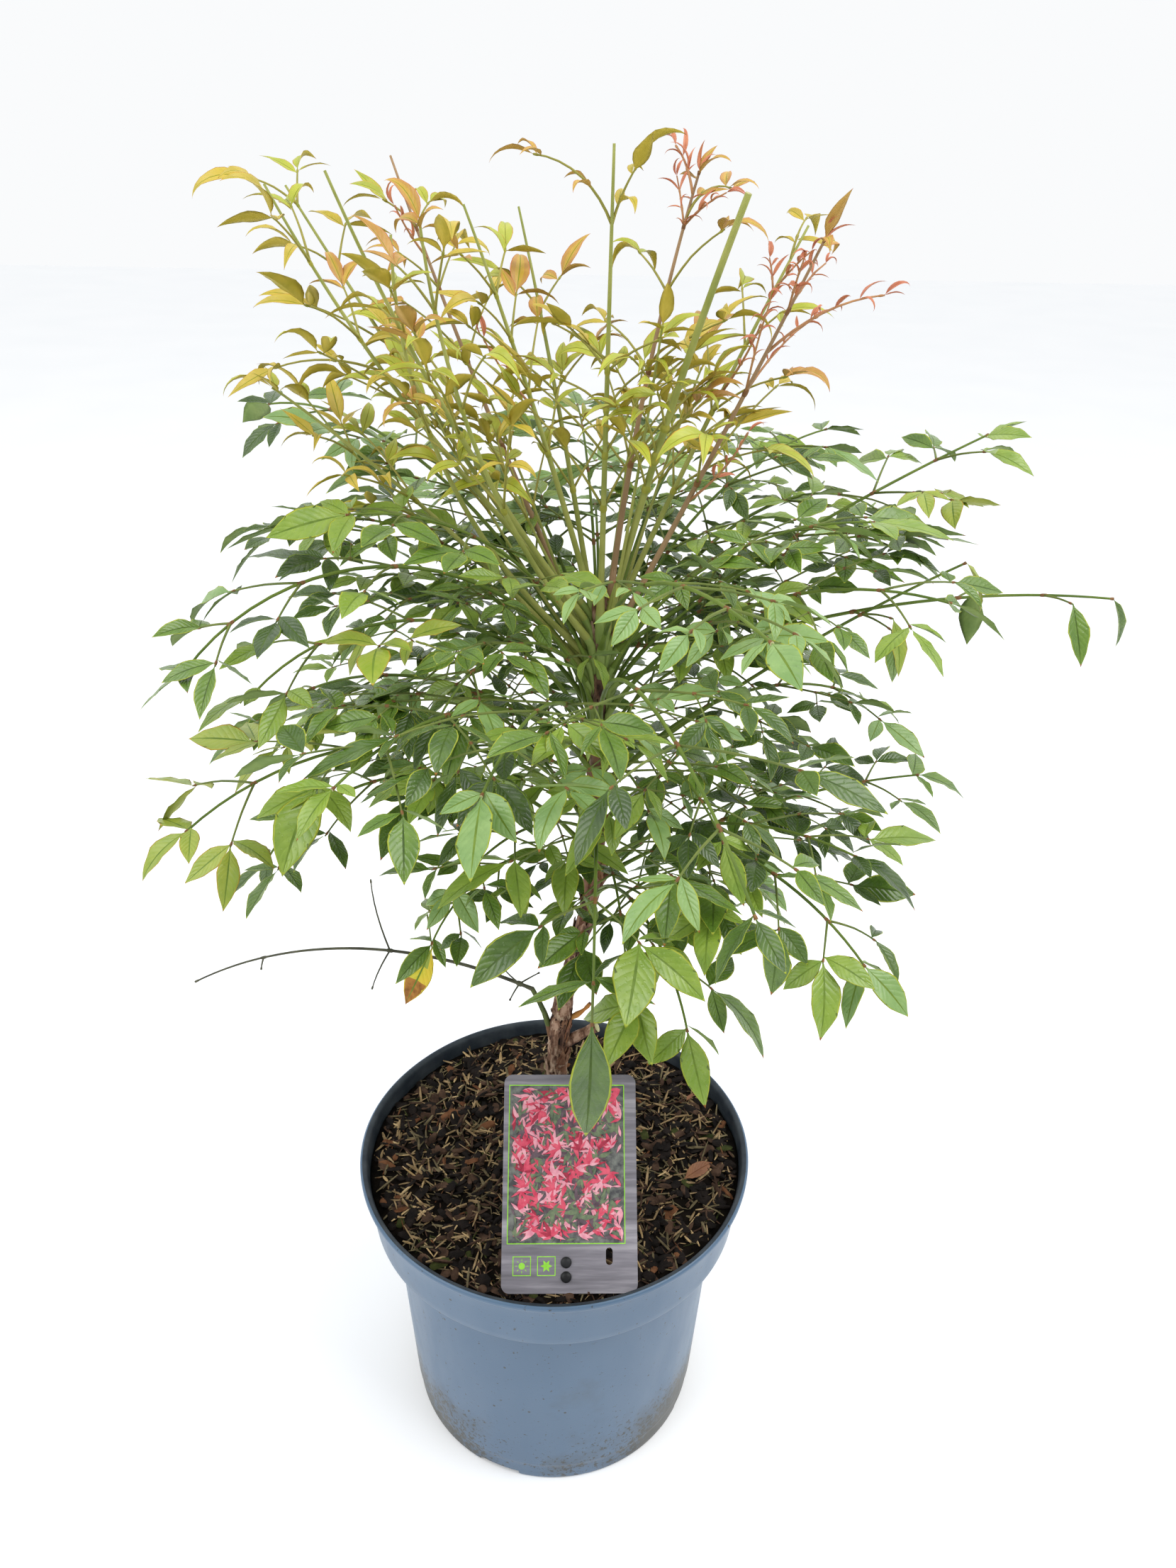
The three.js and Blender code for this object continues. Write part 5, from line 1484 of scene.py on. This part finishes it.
def scatter(seed, count, sides, sizes, tones, tilt, sink, rough):
    """Splinters strewn over the compost. sizes: ranges of length, width and thickness."""
    rng = np.random.default_rng(seed)
    mesh = Mesh()
    stops = SPLINTER_STOPS[:, None]
    faces = ring_faces(len(stops), sides)
    angle = 2 * np.pi * np.arange(sides) / sides
    names, chances = zip(*tones)
    chances = np.array(chances) / sum(chances)
    for _ in range(count):
        r, way = LITTER_EDGE * sqrt(rng.uniform(0.006, 1)), rng.uniform(0, 2 * pi)
        x, y = polar(r, way)
        length, width, thick = (rng.uniform(*span) for span in sizes)
        turn, lean, roll = rng.uniform(0, 2 * pi), rng.normal(0, tilt), rng.normal(0, 0.35)
        shape = rng.uniform(1 - rough, 1 + rough / 2, (len(stops), sides))
        shape *= SPLINTER_GIRTH[:, None]
        bow = rng.normal(0, 0.1 * rough) * length
        local = np.stack(np.broadcast_arrays(
            stops * length, shape * np.cos(angle) * width / 2 + bow * (4 * stops ** 2 - 0.5),
            shape * np.sin(angle) * thick / 2), -1).reshape(-1, 3)
        turned_by = (Matrix.Rotation(turn, 3, "Z") @ Matrix.Rotation(-lean, 3, "Y")
                     @ Matrix.Rotation(roll, 3, "X"))
        reach = abs(cos(lean)) * length / 2
        if hypot(abs(x) + reach * abs(cos(turn)),
                      abs(y) + reach * abs(sin(turn))) > LITTER_REACH:
            continue
        level = soil_height(x, y) + thick * 0.5 - sink + abs(sin(lean)) * length * 0.22
        tone = names[rng.choice(len(names), p=chances)]
        mesh.add(local @ np.array(turned_by).T + [x, y, level], faces, tone)
    return mesh


def build_litter():
    """A fallen leaf, and a dry twig with its curled leaf."""
    mesh = Mesh()
    for root, tip, width, face_lean in FALLEN:
        a = Vector((*root, soil_height(*root) + 1.8))
        b = Vector((*tip, soil_height(*tip) + 3.2))
        along = (b - a).normalized()
        across = along.cross(UP).normalized()
        face = (across.cross(along) + across * face_lean).normalized()
        add_leaves(mesh, [dict(WITHERED_LEAF, root=a, along=along, across=face.cross(along),
                               face=face, length=(b - a).length, width=width, curl=30, fold=24,
                               twist=10, wave=0.1, phase=1.0)])
    start, end = (Vector(place) for place in DRY_TWIG)
    points = []
    for i in range(9):
        x, y, _ = start.lerp(end, i / 8)
        points.append(Vector((x, y + 1.5 * sin(i), soil_height(x, y) + 1.6)))
    tube(mesh, points, [0.8 - 0.04 * i for i in range(9)], "chip_brown", 7)
    return mesh


build_soil().piece("compost_surface", "compost", ["soil"])
scatter(11, 1300, 6, ((4, 13), (3, 8), (1, 3)),
        [("chip_dark", 0.66), ("chip_brown", 0.26), ("chip_red", 0.05), ("chip_moss", 0.03)],
        0.2, 0.6, 0.35).piece("compost_chips", "compost", sharp=35)
scatter(12, 2300, 4, ((3, 11), (0.6, 1.3), (0.5, 0.9)),
        [("straw_gold", 0.2), ("straw_olive", 0.3), ("chip_brown", 0.34), ("chip_red", 0.06),
         ("chip_moss", 0.1)], 0.16, 0.1, 0.15).piece("compost_fibres", "compost", sharp=35)
scatter(13, 1150, 4, ((6, 17), (1, 2.2), (0.7, 1.4)),
        [("straw", 0.13), ("straw_gold", 0.33), ("straw_olive", 0.34), ("chip_brown", 0.2)],
        0.2, -0.2, 0.12).piece("compost_splinters", "compost", sharp=35)
build_litter().piece("fallen_leaf", "compost")

# ---------------- label and peg
LABEL_ALONG = Vector((0, cos(LABEL_LEAN), sin(LABEL_LEAN)))
LABEL_FACE = Vector((0, -sin(LABEL_LEAN), cos(LABEL_LEAN)))
CARD_SLOT = (21.4, 15.5, 25.4, 25)  # left, low, right and high edge, as in the next one
PICTURE = (-37, 27, 33, 118)
PICTURE_EDGE, SIGN_EDGE = 0.55, 0.5  # width of the green frames
ROSETTES = 300
# The leaves of a rosette: turn from its stalk and size.
ROSETTE = [(0, 1), (0.75, 0.85), (-0.7, 0.85), (1.5, 0.6), (-1.4, 0.6)]
ROSETTE_TONES = [("print_rose", "print_pink"), ("print_pink", "print_crimson"),
                 ("print_leaf", "print_plum")]
ROSETTE_CHANCES = [0.5, 0.14, 0.36]
SUN_SIGN, FLOWER_SIGN = (-28, 15), (-13.6, 15)
SIGN_HALF = 5.4
LEAF_SHAPE = [(0, 0), (0.2, 1), (0.42, 1.25), (0.7, 0.7), (1, 0), (0.7, -0.7), (0.42, -1.25),
              (0.2, -1)]
# Radius and height over the card, from the stud's shaft over its head.
STUD = [(0.0, -0.9), (1.9, -0.9), (1.9, 0.2), (3.1, 0.25), (3.2, 0.8), (2.6, 1.5), (1.4, 1.9),
        (0.0, 2.0)]
STUD_SIDES = 24


def on_card(x, s, lift):
    return LABEL_FOOT + Vector((x, 0, 0)) + LABEL_ALONG * s + LABEL_FACE * (LABEL_THICK + lift)


def rounded(left, low, right, high, corner, steps=8):
    line = []
    for x, y, first in ((right - corner, low + corner, -90), (right - corner, high - corner, 0),
                        (left + corner, high - corner, 90), (left + corner, low + corner, 180)):
        line += [polar(corner, radians(first + 90 * i / steps), x, y)
                 for i in range(steps + 1)]
    return line


def circle(x, y, radius, steps=28):
    return [polar(radius, angle, x, y) for angle in bearings(steps)]


def build_card():
    """The card: a plate cut out along its outline, with a slot and two round holes."""
    curve = bpy.data.curves.new("plate", "CURVE")
    curve.dimensions, curve.fill_mode = "2D", "BOTH"
    curve.extrude = LABEL_THICK / 2 * MM
    half = LABEL_WIDTH / 2
    for outline in (rounded(-half, 0, half, LABEL_LENGTH, LABEL_CORNER),
                    rounded(*CARD_SLOT, 1.9, 6),
                    *(circle(x, s, LABEL_HOLE) for x, s in LABEL_HOLES)):
        spline = curve.splines.new("POLY")
        spline.points.add(len(outline) - 1)
        for point, (x, y) in zip(spline.points, outline):
            point.co = (x * MM, y * MM, 0, 1)
        spline.use_cyclic_u = True
    holder = link("plate", curve)
    data = baked(holder)
    bpy.data.objects.remove(holder)
    axes = Matrix((Vector((1, 0, 0)), LABEL_ALONG, LABEL_FACE)).transposed().to_4x4()
    data.transform(Matrix.Translation(on_card(0, 0, -LABEL_THICK / 2) * MM) @ axes)
    data.name = "label_card"
    data.materials.clear()
    data.materials.append(MATERIALS["card_wood"])
    data.shade_flat()
    placed("label_card", data, "label_card", ["label"])


def add_plate(mesh, outline, low, high, tone="print_green"):
    """A thin printed patch, raised above the card so that it never shares its face."""
    points = [tuple(on_card(x, s, lift)) for lift in (low, high) for x, s in outline]
    edge, base, top = ring_faces(2, len(outline))
    mesh.add(points, [edge, top, base], tone)


def add_frame(mesh, left, low, right, high, wide, *lift):
    """Four thin strips along the edges of a box."""
    for box in ((left, low, right, low + wide), (left, high - wide, right, high),
                (left, low + wide, left + wide, high - wide),
                (right - wide, low + wide, right, high - wide)):
        add_plate(mesh, rounded(*box, 0.1, 1), *lift)


def leaf_outline(x, s, way, length, width):
    line = []
    for t, side in LEAF_SHAPE:
        along, off = t * length, side * width / 2.5
        line.append((x + along * cos(way) - off * sin(way),
                     s + along * sin(way) + off * cos(way)))
    return line


def build_print():
    """A made-up print: loose rosettes of pink and green leaves in a thin frame, and two signs."""
    mesh, rng = Mesh(), np.random.default_rng(77)
    left, low, right, high = PICTURE
    add_plate(mesh, rounded(*PICTURE, 0.6, 2), 0.0, 0.06, "print_ground")
    add_frame(mesh, *PICTURE, PICTURE_EDGE, 0.06, 0.1)
    step = 0
    for _ in range(ROSETTES):
        x, s = rng.uniform(left + 2, right - 2), rng.uniform(low + 2, high - 2)
        stalk_way = rng.uniform(0, 2 * pi)
        tones = ROSETTE_TONES[rng.choice(len(ROSETTE_TONES), p=ROSETTE_CHANCES)]
        for turn, size in ROSETTE:
            way = stalk_way + turn + rng.normal(0, 0.12)
            length = size * rng.uniform(7.5, 12)
            outline = leaf_outline(x, s, way, length, length * rng.uniform(0.2, 0.3))
            if all(left + 1 < px < right - 1 and low + 1 < ps < high - 1 for px, ps in outline):
                add_plate(mesh, outline, 0.05, 0.1 + 0.0005 * step, tones[rng.integers(2)])
                step += 1
    for x, s in (SUN_SIGN, FLOWER_SIGN):
        add_frame(mesh, x - SIGN_HALF, s - SIGN_HALF, x + SIGN_HALF, s + SIGN_HALF, SIGN_EDGE, 0,
                  0.08)
    for k, way in enumerate(bearings(6)):
        add_plate(mesh, leaf_outline(*FLOWER_SIGN, way, 3.6, 1.7), 0, 0.08 + 0.004 * k)
    add_plate(mesh, circle(*SUN_SIGN, 1.9, 20), 0, 0.08)
    for way in bearings(8):
        add_plate(mesh, leaf_outline(*polar(2.6, way, *SUN_SIGN), way, 1.6, 0.5), 0, 0.08)
    return mesh


def build_studs():
    mesh = Mesh()
    for x, s in LABEL_HOLES:
        add_skin(mesh, STUD, STUD_SIDES, lambda r, angle, h: on_card(*polar(r, angle, x, s), h),
                 "peg_black")
    return mesh


build_card()
build_print().piece("label_print", "label_card", sharp=30)
build_studs().piece("peg_studs", "peg_plastic", sharp=40)
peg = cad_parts["label_peg"]
peg.data.materials.clear()
peg.data.materials.append(MATERIALS["peg_black"])

# ---------------- floor, light and camera
FRAME_HEIGHT = 2212
FOCAL_PIXELS = 1650
SENSOR = 36
PITCH, YAW, ROLL = radians(28.22), radians(1.67), radians(1.14)
EYE = Vector((0, -0.574, 0.7882))
FLOOR_HALF = 9000
CROWN = (0, 0, 0.45)  # what the lamps aim at


def build_floor():
    data = plain_mesh([(x * FLOOR_HALF, y * FLOOR_HALF, 0)
                       for x, y in ((-1, -1), (1, -1), (1, 1), (-1, 1))], [(0, 1, 2, 3)])
    ground = Surface("studio_floor")
    cloud = ground.noise(ground.place(), 3, 3)
    tone = ground.ramp(cloud, (0.3, (0.93, 0.94, 0.95)), (0.7, (0.96, 0.965, 0.97)))
    ground.shade(Base_Color=tone, Roughness=0.9, Specular_IOR_Level=0.1,
                 Emission_Color=(1, 1, 1, 1), Emission_Strength=0.07)
    data.materials.append(MATERIALS["studio_floor"])
    link("studio_floor", data)


def build_world():
    """Even studio light, brighter above and behind; the backdrop itself is plain white."""
    world = bpy.data.worlds.new("studio")
    bpy.context.scene.world = world
    world.use_nodes = True
    sky, light = Nodes(world.node_tree), world.node_tree.nodes["Background"]
    _, back, above = sky.axes(sky.add("TexCoord", "Generated"))
    sky.feed(light.inputs["Strength"], sky.maths("ADD", sky.ranged(back, -0.8, 0.8, 0.45, 0.95),
                                                 sky.ranged(above, 0, 1, 0, 0.35)))
    sky.feed(light.inputs["Color"], (0.97, 0.985, 1, 1))
    seen = sky.add("Background", Color=(0.955, 0.965, 0.975, 1), Strength=1.0)
    mix = sky.add("MixShader", Fac=sky.add("LightPath", "Is Camera Ray"))
    for socket, value in zip(mix.node.inputs[1:], (light.outputs["Background"], seen)):
        sky.feed(socket, value)
    sky.feed(world.node_tree.nodes["World Output"].inputs["Surface"], mix)


def add_light(name, place, size, power):
    data = bpy.data.lights.new(name, "AREA")
    data.size, data.energy = size, power
    lamp = link(name, data)
    lamp.location = place
    lamp.rotation_mode = "QUATERNION"
    lamp.rotation_quaternion = (Vector(CROWN) - Vector(place)).to_track_quat("-Z", "Y")


def build_camera():
    ahead = Vector((sin(YAW) * cos(PITCH), cos(YAW) * cos(PITCH),
                    -sin(PITCH)))
    level = Vector((cos(YAW), -sin(YAW), 0))
    upright = level.cross(ahead)
    right = level * cos(ROLL) + upright * sin(ROLL)
    above = upright * cos(ROLL) - level * sin(ROLL)
    data = bpy.data.cameras.new("photo")
    data.sensor_width = SENSOR
    data.sensor_fit = "AUTO"
    data.lens = FOCAL_PIXELS * SENSOR / FRAME_HEIGHT
    data.clip_start, data.clip_end = 0.02, 60
    camera = link("photo", data)
    turn = Matrix((right, above, -ahead)).transposed().to_4x4()
    camera.matrix_world = Matrix.Translation(EYE) @ turn
    bpy.context.scene.camera = camera


build_floor()
build_world()
add_light("key", (1.3, -0.5, 2.3), 1.7, 34)
add_light("fill", (-1.5, -0.7, 1.7), 1.6, 20)
build_camera()
settings = bpy.context.scene.view_settings
settings.view_transform = "Standard"
settings.look = "None"
